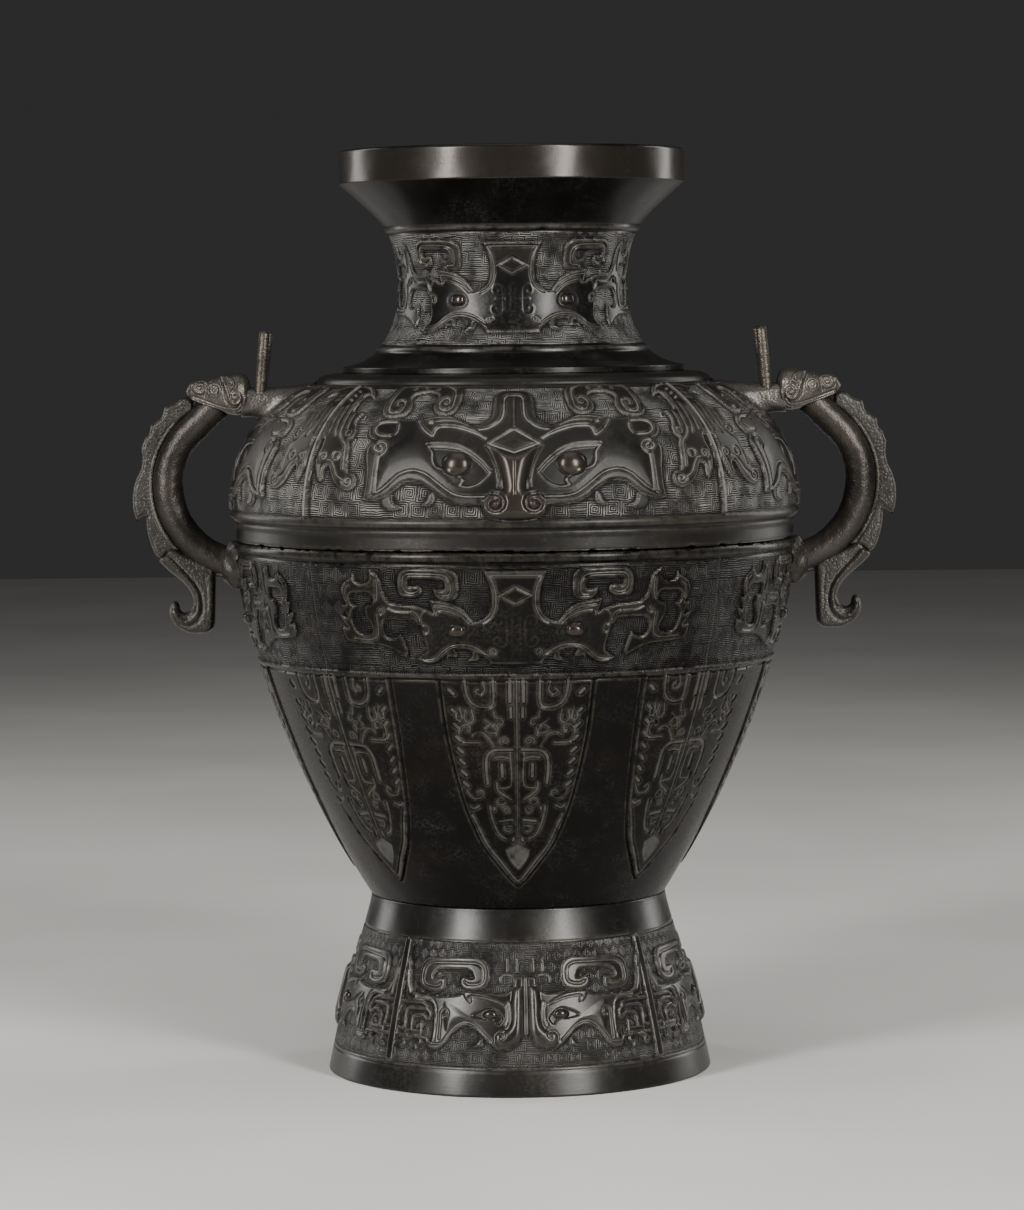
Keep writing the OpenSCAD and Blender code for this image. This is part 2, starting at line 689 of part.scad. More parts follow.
// Head: a side outline cut by a top outline, with scrolled nose, eyes and cheek scrolls
module handle_head() {
    top = head_low + head_h;
    snout_top = head_front + snout_h;
    full_end = head_back + cheek_end * head_l;
    side = [
        [head_back, head_low],
        [head_nose - head_bevel, head_front - head_bevel * tan(head_slope)],
        [head_nose, head_front + snout_h / 3],
        [head_nose - head_bevel / 2, snout_top],
        [head_back + brow_front * head_l, snout_top - head_bevel / 2],
        [head_back + brow_back * head_l, top],
        [head_back, top - head_bevel]
    ];
    above = [
        [head_back, -head_w / 2],
        [full_end, -head_w / 2],
        [head_nose - 2 * head_bevel, -snout_w / 2],
        [head_nose + past, -snout_w / 2 + head_bevel],
        [head_nose + past, snout_w / 2 - head_bevel],
        [head_nose - 2 * head_bevel, snout_w / 2],
        [full_end, head_w / 2],
        [head_back, head_w / 2]
    ];
    color(worn_bronze)
        difference() {
            union() {
                intersection() {
                    plate(side, head_w);
                    linear_extrude(far) polygon(above);
                }
                translate([head_nose - nose_scroll_r - head_bevel / 2, 0, snout_top - nose_scroll_r])
                    rotate([90, 0, 0])
                        cylinder(h = snout_w + 2 * nose_scroll_proud, r = nose_scroll_r, center = true);
                for (y = [-1, 1])
                    translate([head_back + head_l / 2, y * (head_w - head_eye_r) / 2, top - head_eye_drop])
                        sphere(head_eye_r, $fn = 48);
            }
            bar_peg(fit_gap);
            lug_peg(fit_gap);
        }
}

// Lug: the beast's neck, from the shoulder wall to the back of the head
module upper_lug() {
    color(rough_bronze)
        difference() {
            union() {
                difference() {
                    translate([lug_wall_r - lug_h, -lug_w / 2, lug_z - lug_h / 2])
                        cube([head_back - lug_wall_r + lug_h, lug_w, lug_h]);
                    skin(fit_gap);
                }
                lug_tenon(0);
                lug_peg(0);
            }
            for (side = [-1, 1])
                ear_peg(side, fit_gap);
        }
}

// Collar of solder round the bar where it enters the belly wall
module root_collar() {
    color(solder_grey)
        difference() {
            translate([root_wall_r - wall, 0, root_z])
                rotate([0, 90, 0])
                    cylinder(h = wall + root_collar_h, r1 = root_collar_d / 2, r2 = bar_d / 2 + past);
            skin(fit_gap);
            belly_bead(fit_gap);
            rod(fit_gap);
        }
}

// The foot of an ear on the lug: side is -1 in front and 1 behind
module at_ear(side) {
    translate([head_back - ear_space - ear_t, side * (lug_w - ear_w) / 2, lug_top]) children();
}

// Square peg under an ear
module ear_peg(side, gap) {
    at_ear(side)
        translate([-ear_t / 4 - gap, -ear_w / 4 - gap, -peg_h - gap])
            cube([ear_t / 2 + 2 * gap, ear_w / 2 + 2 * gap, peg_h + gap]);
}

// Ear: an upright leaf with a round tip, leaning towards the neck
module ear(side) {
    leaf = smooth([
        [-0.36 * ear_w, 0], [-0.5 * ear_w, 0.4 * ear_h], [-0.42 * ear_w, 0.75 * ear_h],
        [0, ear_h], [0.42 * ear_w, 0.75 * ear_h], [0.5 * ear_w, 0.4 * ear_h], [0.36 * ear_w, 0]
    ]);
    color(rough_bronze) {
        at_ear(side)
            intersection() {
                rotate([0, -ear_lean, 0])
                    rotate([90, 0, 90])
                        translate([0, -past]) linear_extrude(ear_t, center = true) polygon(leaf);
                translate([-far / 2, -far / 2, 0]) cube(far);
            }
        ear_peg(side, 0);
    }
}

// A point over the bar's back: an angle round the bends and a height above the bar's middle
function over_bar(a, h) = a > 0 ? polar(up_c, a, bar_up_r + h) : polar(low_c, a, bar_low_r + h);

// Crest: lobes along the bar's back, each an angle round the bends and a share of the crest's height
module handle_crest() {
    lobes = [
        [crest_start_a, 0.64], [52, 0.86], [46, 0.73], [39, 0.77], [28, 0.86], [21, 0.68], [14, 0.55],
        [3, 0.73], [-5, 0.91], [-16, 0.95], [-15, 0.5], [-24, 0.68], [-31, 0.86], [-crest_end_a, 1]
    ];
    back = [for (q = lobes) over_bar(q[0], bar_d / 2 + crest_h * q[1])];
    turn = (crest_start_a + crest_end_a) / curve_n;
    root = [for (k = [0:curve_n]) over_bar(-crest_end_a + k * turn, 0)];
    color(rough_bronze)
        difference() {
            plate(concat(back, root), crest_t);
            rod(fit_gap);
            above_seat();
        }
}

// Tail: a plate that hangs from the end of the crest and curls up into a hook
module handle_tail() {
    hang = polar(low_c, -tail_hang_a, bar_low_r);
    top_a = -crest_end_a - tail_gap_a;
    hook = [
        [0.68, -0.31], [0.47, -0.44], [0.38, -0.58], [0.46, -0.7], [0.61, -0.73], [0.7, -0.65],
        [0.78, -0.6], [0.87, -0.64], [0.92, -0.74], [0.8, -0.89], [0.53, -0.99], [0.32, -1],
        [0.12, -1], [-0.02, -0.94], [-0.05, -0.82], [-0.06, -0.56], [-0.08, -0.27]
    ];
    color(rough_bronze)
        difference() {
            plate(concat(
                [over_bar(top_a, 0), over_bar(top_a, bar_d / 2 + crest_h)],
                [for (q = hook) hang + [q.x * tail_w, q.y * tail_l]],
                [over_bar(-tail_root_a, 0)]), tail_t);
            rod(fit_gap);
        }
}

module on_left() {
    mirror([1, 0, 0]) children();
}

neck();
shoulder();
belly();
foot();
base_plate();
on_left() handle_bar();  // left_handle_bar
on_left() handle_head();  // left_handle_head
on_left() handle_crest();  // left_handle_crest
on_left() handle_tail();  // left_handle_tail
on_left() upper_lug();  // left_upper_lug
on_left() root_collar();  // left_root_collar
on_left() ear(-1);  // left_front_ear
on_left() ear(1);  // left_rear_ear
handle_bar();  // right_handle_bar
handle_head();  // right_handle_head
handle_crest();  // right_handle_crest
handle_tail();  // right_handle_tail
upper_lug();  // right_upper_lug
root_collar();  // right_root_collar
ear(-1);  // right_front_ear
ear(1);  // right_rear_ear
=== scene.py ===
# %% [markdown]
# # A bronze wine jar with two dragon handles
# The jar is cast bronze: four turned walls that lap into each other, a floor plate, and two
# handles soldered to the sides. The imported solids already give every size, so we load them
# first and keep their box. Every piece below is drawn in millimetres in the same frame, and stays
# within about a millimetre of that box.

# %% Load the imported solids
import math
import bpy
import numpy as np
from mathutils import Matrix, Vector
from mathutils.geometry import delaunay_2d_cdt


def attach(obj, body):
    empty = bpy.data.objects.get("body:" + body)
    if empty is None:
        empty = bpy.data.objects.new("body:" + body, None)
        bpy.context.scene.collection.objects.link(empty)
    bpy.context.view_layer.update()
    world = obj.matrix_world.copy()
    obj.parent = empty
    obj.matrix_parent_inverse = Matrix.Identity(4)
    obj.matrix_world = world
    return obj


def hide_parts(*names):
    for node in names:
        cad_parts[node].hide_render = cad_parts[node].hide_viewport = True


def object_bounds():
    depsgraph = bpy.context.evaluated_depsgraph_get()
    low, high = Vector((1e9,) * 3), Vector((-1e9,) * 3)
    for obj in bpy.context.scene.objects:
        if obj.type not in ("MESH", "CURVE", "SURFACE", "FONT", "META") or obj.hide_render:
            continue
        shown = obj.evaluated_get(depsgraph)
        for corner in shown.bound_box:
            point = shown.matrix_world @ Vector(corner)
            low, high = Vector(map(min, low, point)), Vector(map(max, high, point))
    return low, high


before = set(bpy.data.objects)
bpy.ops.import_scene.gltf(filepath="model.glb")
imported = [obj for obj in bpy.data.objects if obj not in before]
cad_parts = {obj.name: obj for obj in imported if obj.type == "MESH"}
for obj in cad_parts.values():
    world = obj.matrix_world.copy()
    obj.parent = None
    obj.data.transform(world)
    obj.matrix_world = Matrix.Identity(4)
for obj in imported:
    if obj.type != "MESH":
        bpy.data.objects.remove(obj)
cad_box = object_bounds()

MM = 0.001
print("solids:", len(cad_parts), "box:", [[round(v, 4) for v in corner] for corner in cad_box])

# %% [markdown]
# ## Heights and curves of the wall
# A turned wall is a line drawn beside an axis and spun round it. The line here is a chain of
# cubic curves, with the same ends and guide points as the solids. We sample each curve at even
# steps along its length, because the ornament is measured along the wall and not straight up.

# %% Curves beside the axis, in millimetres
FOOT_LOW_Z, FOOT_TOP_Z = 14.0, 71.5
BELLY_Z, BLADE_Z, RIDGE_Z, BELLY_TOP_Z, WAIST_Z = 87.0, 90.0, 203.0, 256.0, 261.0
BAND_Z, LEDGE_Z, NECK_Z = 274.0, 337.0, 342.0
FLARE_Z, NECK_LOW_Z, NECK_TOP_Z, LIP_Z, RIM_Z = 345.0, 355.0, 410.0, 434.0, 450.0
WALL = 4.0


def bend(a, d, guides, count=200):
    """A cubic curve from a to d; guides are shares of the way across and up."""
    a, d = np.array(a, float), np.array(d, float)
    b = a + (d - a) * np.array(guides[:2])
    c = a + (d - a) * np.array(guides[2:])
    t = np.linspace(0, 1, count)[:, None]
    u = 1 - t
    return u ** 3 * a + 3 * u * u * t * b + 3 * u * t * t * c + t ** 3 * d


def run_along(line):
    """How far along a line each of its points lies."""
    return np.concatenate([[0], np.cumsum(np.hypot(*np.diff(line, axis=0).T))])


def even(line, spacing):
    """The same line with points at even steps along its length."""
    line = np.asarray(line, float)
    run = run_along(line)
    count = max(2, int(round(run[-1] / spacing)) + 1)
    at = np.linspace(0, run[-1], count)
    return np.stack([np.interp(at, run, line[:, 0]), np.interp(at, run, line[:, 1])], axis=1)


def part_of(line, low, high):
    """The stretch of a rising line between two heights, with exact ends."""
    inner = line[(line[:, 1] > low) & (line[:, 1] < high)]
    ends = [[np.interp(z, line[:, 1], line[:, 0]), z] for z in (low, high)]
    return np.concatenate([[ends[0]], inner, [ends[1]]])


foot_line = bend((94.25, 0), (72.25, BELLY_Z), (0.4, 0.53, 0.92, 0.85))
belly_line = bend((72.25, BELLY_Z), (136.5, WAIST_Z), (0.464, 0.27, 0.96, 0.68))
shoulder_line = bend((138, BAND_Z), (98.5, LEDGE_Z), (-0.025, 0.47, 0.355, 0.82))
ledge_line = bend((96.5, LEDGE_Z), (84.5, NECK_Z), (0, 0.6, 0.25, 1))
flare_line = bend((83.5, FLARE_Z), (65, NECK_LOW_Z), (0.486, 0.12, 0.865, 0.5))
neck_line = bend((65, NECK_LOW_Z), (60.5, NECK_TOP_Z), (2.8, 0.27, 2.35, 0.71))
trumpet_line = bend((60.5, NECK_TOP_Z), (84.5, LIP_Z), (0.19, 0.33, 0.625, 0.67))
print("neck waist radius:", round(float(neck_line[:, 0].min()), 2), "mm")

# %% [markdown]
# ## Carving on a flat patch
# The masks stand on the wall as low relief. A founder shapes such relief in clay or wax before
# casting, and we do the same with numbers: a patch of wall is unrolled flat, every point of it
# holds a height, and a few tools lift fields, swell them, and cut grooves along drawn lines. Only
# half a mask is carved and then mirrored, because both halves are alike. Points are given in
# millimetres.

# %% Drawn lines
def curved(points, closed=False, steps=5):
    """A smooth line through given points; a point given twice stays a corner."""
    p = [np.array(q, float) for q in points]
    count = len(p)
    line = []
    for i in range(count if closed else count - 1):
        b, c = p[i], p[(i + 1) % count]
        chord = np.hypot(*(c - b))
        if chord < 1e-6:
            continue
        a = p[i - 1] if closed or i else b
        d = p[(i + 2) % count] if closed or i + 2 < count else c
        slopes = []
        for slope, corner in (((c - a) / 2, np.allclose(a, b)), ((d - b) / 2, np.allclose(c, d))):
            length = max(np.hypot(*slope), 1e-9)
            slopes.append(c - b if corner else slope * min(1, chord / length))
        for k in range(steps):
            t = k / steps
            line.append((2 * t ** 3 - 3 * t * t + 1) * b + (t ** 3 - 2 * t * t + t) * slopes[0]
                        + (3 * t * t - 2 * t ** 3) * c + (t ** 3 - t * t) * slopes[1])
    line.append(p[0] if closed else p[-1])
    return np.array(line)


def spiral(x, s, big, small, turns, start, way=1):
    """Points of a curl that winds in from a start angle in degrees; way is 1 or -1."""
    count = int(10 * turns) + 2
    k = np.linspace(0, 1, count)
    a = math.radians(start) + way * k * turns * 2 * math.pi
    r = big + (small - big) * k
    return np.stack([x + r * np.cos(a), s + r * np.sin(a)], axis=1)


def ease(t):
    """Goes smoothly from 0 to 1 as t does, and stays there."""
    t = np.clip(t, 0, 1)
    return t * t * (3 - 2 * t)


print("a curl of one turn has", len(spiral(0, 0, 4, 1, 1.0, 0)), "points")

# %% The carving tools
FADE = 1.5


class Carving:
    """A patch of wall unrolled flat: x runs across and s up the wall, both in millimetres.

    High is the relief, ground is 1 between the motifs, the pale mask tells how near a drawn line
    is, and bright marks what hands have polished. The pale of the lines is dust in the grooves and a
    painted highlight along raised edges.
    """

    def __init__(self, width, columns, s, start=0.0):
        self.xs = start + np.linspace(0, width, columns + 1)
        self.ss = np.asarray(s, float)
        self.x, self.s = np.meshgrid(self.xs, self.ss)
        self.high = np.zeros_like(self.x)
        self.ground = np.ones_like(self.x)
        self.pale_dust_and_sheen = np.zeros_like(self.x)
        self.bright = np.zeros_like(self.x)

    def window(self, line, pad):
        """The rows and columns round a drawn line."""
        low, top = line.min(axis=0) - pad, line.max(axis=0) + pad
        rows = slice(*np.searchsorted(self.ss, [low[1], top[1]]))
        columns = slice(*np.searchsorted(self.xs, [low[0], top[0]]))
        return rows, columns

    def away(self, line, w):
        """Distance from each point of a window to a drawn line."""
        x, s = self.x[w], self.s[w]
        best = np.full(x.shape, 1e9)
        for (ax, a_s), (bx, b_s) in zip(line[:-1], line[1:]):
            dx, ds = bx - ax, b_s - a_s
            t = np.clip(((x - ax) * dx + (s - a_s) * ds) / (dx * dx + ds * ds + 1e-12), 0, 1)
            np.minimum(best, (x - ax - t * dx) ** 2 + (s - a_s - t * ds) ** 2, out=best)
        return np.sqrt(best)

    def depth_in(self, line, w):
        """Distance to a closed outline, positive inside it."""
        x, s = self.x[w], self.s[w]
        inside = np.zeros(x.shape, bool)
        for (ax, a_s), (bx, b_s) in zip(line[:-1], line[1:]):
            if a_s != b_s:
                crosses = (a_s > s) != (b_s > s)
                inside ^= crosses & (x < ax + (s - a_s) * (bx - ax) / (b_s - a_s))
        far = self.away(line, w)
        return np.where(inside, far, -far)

    def draw(self, w, gap, most=1.2):
        """Keeps how near a drawn line is: 1 at its edge, more inside it, less up to FADE away."""
        self.pale_dust_and_sheen[w] = np.maximum(self.pale_dust_and_sheen[w], np.minimum(1 - gap / FADE, most))

    def field(self, points, high, edge=0.9, rim=0.4):
        """Lifts a flat-topped motif out of the ground, with a thin pale line along its edge: a painted
        highlight.
        """
        line = curved(points, closed=True)
        w = self.window(line, FADE + 0.3)
        deep = self.depth_in(line, w)
        k = ease(deep / edge + 0.5)
        self.high[w] = np.maximum(self.high[w], high * k)
        self.ground[w] = np.minimum(self.ground[w], 1 - k)
        # The rim is a pale line along the raised edge: a painted highlight where the edge would catch the
        # light.
        if rim:
            self.draw(w, np.abs(deep) - rim / 2, 0.97)

    def hole(self, points, edge=0.9):
        """Takes a patch of a motif back down to the ground."""
        line = curved(points, closed=True)
        w = self.window(line, edge)
        k = ease(self.depth_in(line, w) / edge + 0.5)
        self.high[w] *= 1 - k
        self.ground[w] = np.maximum(self.ground[w], k)

    def sink(self, points, deep, edge=0.8):
        """Cuts a flat-bottomed patch, which fills with pale dust."""
        line = curved(points, closed=True)
        w = self.window(line, FADE)
        inside = self.depth_in(line, w)
        self.high[w] -= deep * ease(inside / edge + 0.5)
        self.draw(w, -inside)

    def polish(self, points, most, soft=2.0):
        """Marks a patch as rubbed bright, more and more from its outline inwards."""
        line = curved(points, closed=True)
        w = self.window(line, 0)
        self.bright[w] = np.maximum(self.bright[w], most * ease(self.depth_in(line, w) / soft))

    def swell(self, points, high, soft):
        """Rounds a patch up, from its outline to a soft crown."""
        line = curved(points, closed=True)
        w = self.window(line, 0.1)
        k = np.clip(self.depth_in(line, w) / soft, 0, 1)
        self.high[w] += high * np.sin(k * math.pi / 2)

    def groove(self, points, wide=1.1, deep=0.7, smooth=True, line_dust_and_sheen=True):
        """Cuts a line, which may fill with pale dust."""
        line = curved(points) if smooth else np.asarray(points, float)
        w = self.window(line, wide / 2 + FADE)
        far = self.away(line, w)
        self.high[w] -= deep * ease((wide / 2 + 0.3 - far) / 0.7)
        if line_dust_and_sheen:
            self.draw(w, far - wide * 0.27)

    def thread(self, points, wide, high):
        """Lays a raised line on what is there."""
        line = curved(points)
        w = self.window(line, wide)
        k = ease((wide / 2 + 0.3 - self.away(line, w)) / 0.8)
        self.high[w] += high * k
        self.ground[w] = np.minimum(self.ground[w], 1 - k)

    def dome(self, x, s, rx, rs, high, power=2):
        """Sets a round or rounded-square boss on the wall."""
        q = (np.abs(self.x - x) / rx) ** power + (np.abs(self.s - s) / rs) ** power
        k = np.sqrt(np.clip(1 - q, 0, 1))
        self.high += high * k
        self.ground = np.minimum(self.ground, 1 - ease(3 * k))
        self.pale_dust_and_sheen *= 1 - ease(3 * k)
        self.bright = np.maximum(self.bright, ease(2 * k))

    def mound(self, x, s, rx, rs, high):
        """Adds a soft hill with no edge."""
        q = np.sqrt(((self.x - x) / rx) ** 2 + ((self.s - s) / rs) ** 2)
        self.high += high * ease(1 - q)


print("carving tools ready")

# %% [markdown]
# ## The great masks of the shoulder
# Each of the four shoulder panels holds a beast mask: a finial and lozenge on the forehead, long
# brows, ball eyes, a split nose with curled nostrils, a waved lip with fangs, two C-shaped horns
# above, and a dragon standing on its nose beside each upright flange. Tops are flat and dark, and
# the lines cut into them are pale with dust. The thin pale line round each raised motif and down
# each flange's crest is a painted highlight.

# %% Face, brow and eye
def shoulder_face(c):
    c.field([(-4, 71.5), (-4, 71.5), (4.5, 71.5), (8.2, 69.8), (9.6, 66), (9.8, 57), (10.6, 52.4),
             (13.5, 49.3), (18.5, 47.6), (24, 50.6), (30.5, 53), (37.5, 53), (43.5, 51.6), (47, 51),
             (61, 51.2), (66.5, 50.2), (69.6, 47.2), (69.9, 44), (68, 41.2), (64.5, 40), (64.5, 40),
             (66.8, 37.6), (68, 34.8), (67.3, 30), (66, 25), (65.5, 19), (65.8, 14), (66.8, 11.2),
             (66.8, 11.2), (62, 10.9), (58, 12), (54, 14), (51, 16.6), (48, 18.9), (45, 19.7), (40, 19),
             (35, 16), (31, 12.6), (26, 10), (20, 9), (12.5, 9), (12, 5.5), (9.5, 3), (5, 1.6), (-4, 1.2),
             (-4, 1.2)], 1.5)
    c.swell([(12, 16), (24, 14.5), (33, 20), (42, 25), (50, 23.5), (56, 18.5), (60, 15), (60, 32), (54, 37),
             (46, 45), (39, 41), (36, 33), (30, 24), (22, 17)], 0.5, 6)
    c.swell([(12, 39.6), (15, 43.6), (19, 47.6), (25, 51), (31, 53), (38, 52.8), (44, 51.2), (45.8, 50),
             (41.5, 44.2), (37.2, 41.2), (36, 44.8), (34.5, 46.4), (28, 46.2), (22, 44.5), (16, 41.7)],
            0.6, 2)
    c.groove([(19, 48.2), (25, 51), (31, 52.2), (38, 51.9), (42.5, 50.8)], 0.9)
    c.groove([(12.5, 40), (16, 42.2), (22, 44.8), (28, 46.4), (34.5, 46.6), (36, 45), (36.6, 42.6),
              (37.2, 41.6), (41, 44.2), (44, 47.6), (45.8, 50.2)], 1.0)
    c.groove([(21, 47), (27, 49.4), (33, 49.8), (37, 49.2)], 0.8, 0.5)
    c.groove([(38.2, 48.4), (40, 48.8)], 1.6, 0.6)
    c.groove([(-1, 67.6), (3, 67.5), (4.7, 65.5), (4.9, 56), (5.6, 52), (8, 48.6), (12, 46), (16, 45.2)],
             1.3)
    c.thread([(0, 65), (0, 46.5)], 1.4, 0.5)
    c.groove([(0, 45.3), (11, 37.6), (0, 33.2)], 1.2, 0.7, smooth=False)
    c.swell([(0, 44), (0, 44), (9, 37.8), (9, 37.8), (0, 34.4), (0, 34.4), (-9, 37.8), (-9, 37.8)], 0.8, 4)


def shoulder_eye(c, proud):
    socket = [(10.3, 23.6), (10.3, 23.6), (13.5, 27.6), (18, 31.6), (23, 34.6), (29, 35.8), (38.6, 36.4),
              (38.6, 36.4), (36.2, 33.4), (35.6, 29.5), (34, 26.4), (30, 24.8), (25, 22.6), (22, 20.4),
              (23.2, 17.6), (23.2, 17.6), (19.5, 16.9), (15.5, 18.2), (12.5, 20.8)]
    c.swell(socket, -1.1, 1.0)
    c.groove(socket + [socket[0]], 0.8, 0.3)
    c.thread([(10, 25), (14, 29.8), (19, 34.2), (25, 37.2), (32, 38.2), (38.8, 37.8)], 1.2, 0.5)
    c.dome(24.8, 27.9, 6.4, 5.9, 4.3 * proud)


print("drawn: face, brow and eye")

# %% Nose, lip, cheek bar, ear and fangs
def shoulder_mouth(c, proud):
    nose = [(-9, 32), (0, 32.4), (4, 33.6), (10, 36.2), (8.4, 32), (6.7, 27), (5.6, 22), (5, 18),
            (5.2, 15.8), (8, 15.2), (11, 14.2), (13.2, 11.8), (13.4, 8.8), (12.4, 5.6), (9.6, 3), (5, 1.8),
            (0, 1.6), (-9, 1.6)]
    c.field(nose[7:] + [(-9, 18)], 1.5, rim=0)
    c.swell(nose, 2.8 * proud, 4.6)
    c.mound(0, 6.4, 15, 9, 1.3 * proud)
    c.groove([(12.2, 36.4), (10, 33), (8.2, 28.6), (7, 24), (6.4, 20), (6.6, 17)], 1.0, 0.7, line_dust_and_sheen=False)
    for wide, deep in ((2.6, 0.7), (1.3, 0.9)):
        c.groove(spiral(8.2, 9.4, 4.4, 1.9, 1.1, 75, 1), wide, deep * proud, smooth=False, line_dust_and_sheen=False)
    c.mound(7.6, 9.4, 2.2, 2.2, 1.0 * proud)
    c.groove([(0, 31.6), (0, 13)], 0.5, 0.5, line_dust_and_sheen=False)
    c.polish(nose, 0.75)
    c.swell([(12.5, 9), (20, 9), (26, 10), (31, 12.6), (35, 16), (40, 19), (45, 19.7), (48, 18.9),
             (51, 16.6), (54, 14), (58, 12), (62, 10.9), (66.8, 11.2), (61, 13.6), (57, 16), (54, 19),
             (50.5, 22.4), (46.5, 24.1), (42.5, 24.2), (38, 22.6), (33, 18.8), (29, 15.6), (25, 13.2),
             (20, 12.2), (12.5, 12.2)], 0.8, 1.6)
    c.groove([(12.5, 12.6), (20, 12.6), (25, 13.6), (29, 16), (33, 19.2), (38, 23), (42.5, 24.6),
              (46.5, 24.5), (50.7, 22.6), (54.2, 19.2), (57.4, 16.2), (60.4, 14.4)], 0.9, 0.8)
    c.swell([(60.8, 14), (65.6, 11.8), (65.4, 19), (65.8, 25), (67.2, 31), (67.6, 35), (65, 38.6),
             (61, 33)], 0.8, 1.8)
    c.groove([(60.6, 14.6), (60.8, 24), (61, 31.4)], 1.0, 0.7)
    c.groove(spiral(61.6, 35.6, 4.0, 0.7, 1.5, 250, -1), 0.9, 0.7, smooth=False)
    c.groove([(56.5, 49.4), (62, 49.4), (65.6, 48.2), (67, 46), (66, 43.6), (63, 42), (57.5, 41.6)], 1.1)
    c.groove([(55.2, 48), (54.6, 45), (55.6, 42.4)], 0.9, 0.6)
    c.field([(34.6, 14.4), (34.4, 10.4), (37, 8.4), (39.4, 8.8), (39.4, 8.8), (37.4, 10.6), (36.4, 13.2)],
            1.5)
    c.field([(53.2, 13.2), (57.5, 11), (56.4, 7.8), (52.6, 6.4), (48.4, 7.6), (48.4, 7.6), (51.6, 9),
             (52.8, 11)], 1.5)


print("drawn: nose, lip, cheek bar, ear and fangs")

# %% Horns and side dragons
def shoulder_horn(c):
    c.field([(28, 62), (27.8, 68), (29, 73), (32.5, 77), (37, 78.6), (60, 78.6), (65, 77.4), (68, 74),
             (68.8, 68), (68.5, 60), (67, 55.5), (63.5, 53.2), (58, 53.1), (54.5, 54.6), (52.8, 58),
             (53.5, 62), (55.5, 66), (54.5, 69), (50.5, 71), (45, 71), (41, 69), (39.8, 66), (41, 63),
             (40.5, 59.5), (38.5, 56), (34, 54.5), (30.5, 55.5), (28.5, 58.5)], 1.5)
    left = [(50, 75.3), (37, 75.3), (33.5, 73.6), (31.3, 69), (30.8, 63), (31.2, 59), (33.5, 57),
            (36.3, 57.8), (38, 60.5), (38, 63.5), (36.3, 65.6), (33.9, 65.2), (33.2, 62.6), (34.6, 61),
            (35.8, 62)]
    right = [(49, 75.3), (60, 75.3), (63.6, 74.2), (65.4, 71), (65.7, 66), (65.3, 60), (64, 56.5),
             (61, 55.3), (58, 56), (57, 59), (57.5, 62.3), (59.5, 63.9), (61.5, 62.8), (61.5, 60.6),
             (60, 60.2)]
    for line in (left, right):
        c.groove(line, 1.2, 0.8)
    for x in (42.5, 49.5, 56.5):
        c.groove(spiral(x, 73, 1.4, 0.5, 0.9, 60, 1), 0.7, 0.5, smooth=False)


def shoulder_dragon(c):
    c.field([(79.5, 66.5), (79.5, 66.5), (83, 71.5), (87.5, 75.5), (92, 77.3), (97, 77.3), (97, 77.3),
             (96.6, 41), (94.5, 40.5), (94, 36), (95, 31), (94, 25), (91.5, 19.5), (89.8, 20.5), (89.8, 25),
             (88.5, 26.8), (86.5, 26.5), (85, 23.5), (82.5, 19.5), (79, 16.5), (75, 15.5), (71.8, 17),
             (71, 20), (72.8, 22.6), (75.5, 23), (76.3, 24), (77.5, 30), (78.5, 36), (80, 39), (78.5, 41),
             (78, 44), (79.3, 47), (80.3, 51), (79, 55.3), (79, 55.3), (85.5, 56), (86.5, 60), (87, 66),
             (86, 69), (83, 68.5)], 1.5)
    c.groove([(82, 68.2), (86, 72.4), (91, 75), (96, 75.4)], 0.9, 0.6)
    c.groove([(88.4, 68.6), (88, 60), (87.2, 50), (86.4, 43), (83.6, 39.6), (80.8, 37.2), (79.6, 32),
              (78.4, 25)], 1.0)
    c.groove([(91.4, 60), (91.2, 52), (90.6, 46), (88.6, 41.4)], 1.0)
    c.groove([(94.6, 58), (94.4, 50), (93.6, 43)], 0.9)
    for s in (63, 66.5, 70):
        c.groove([(91.6, s), (94.8, s + 1.6)], 0.9, 0.6)
    c.groove(spiral(83.6, 31.4, 2.1, 2.1, 1.0, 0), 0.8, 0.6, smooth=False)
    c.groove(spiral(91.3, 31, 2.6, 0.6, 1.4, 300, 1), 0.8, 0.6, smooth=False)
    c.groove(spiral(75, 19.4, 2.6, 0.6, 1.3, 350, -1), 0.8, 0.7, smooth=False)
    c.groove([(77.6, 20), (81, 22), (83.6, 26), (86, 29), (88, 29.4)], 0.9, 0.6)
    c.groove([(92.4, 27), (91.8, 23), (91, 21)], 0.8, 0.6)
    c.groove(spiral(81.4, 43.2, 1.6, 1.6, 1.0, 0), 0.7, 0.6, smooth=False)
    c.groove([(83.6, 54.4), (83.8, 49), (83.2, 45.4)], 1.0, 0.7)


def shoulder_panel(c, proud):
    """Proud is how far eyes and nose stand out: fully in front and behind, hardly under the handles."""
    shoulder_face(c)
    shoulder_mouth(c, proud)
    shoulder_eye(c, proud)
    shoulder_horn(c)
    shoulder_dragon(c)
    flange_x, flange_foot = 98.2, 3
    c.thread([(flange_x, -2), (flange_x, 82)], 2.4, 2.0)
    # A pale line down the flange's crest, stopping near the band's foot: a painted highlight along its lit
    # edge.
    c.draw(np.s_[:, :], np.maximum(np.abs(c.x - flange_x) - 0.5, flange_foot - c.s))


print("drawn: horns, side dragons and the whole shoulder panel")

# %% [markdown]
# ## The flat masks of the neck and belly
# The neck and the upper belly repeat one flatter mask with a shield-shaped forehead, squared
# horns, small rounded-square eyes and a body that splits to both sides. One function carves both;
# the neck's is squeezed at its outer end, because the panel there is narrower.

# %% One flat mask for two bands
BODY_X = 44


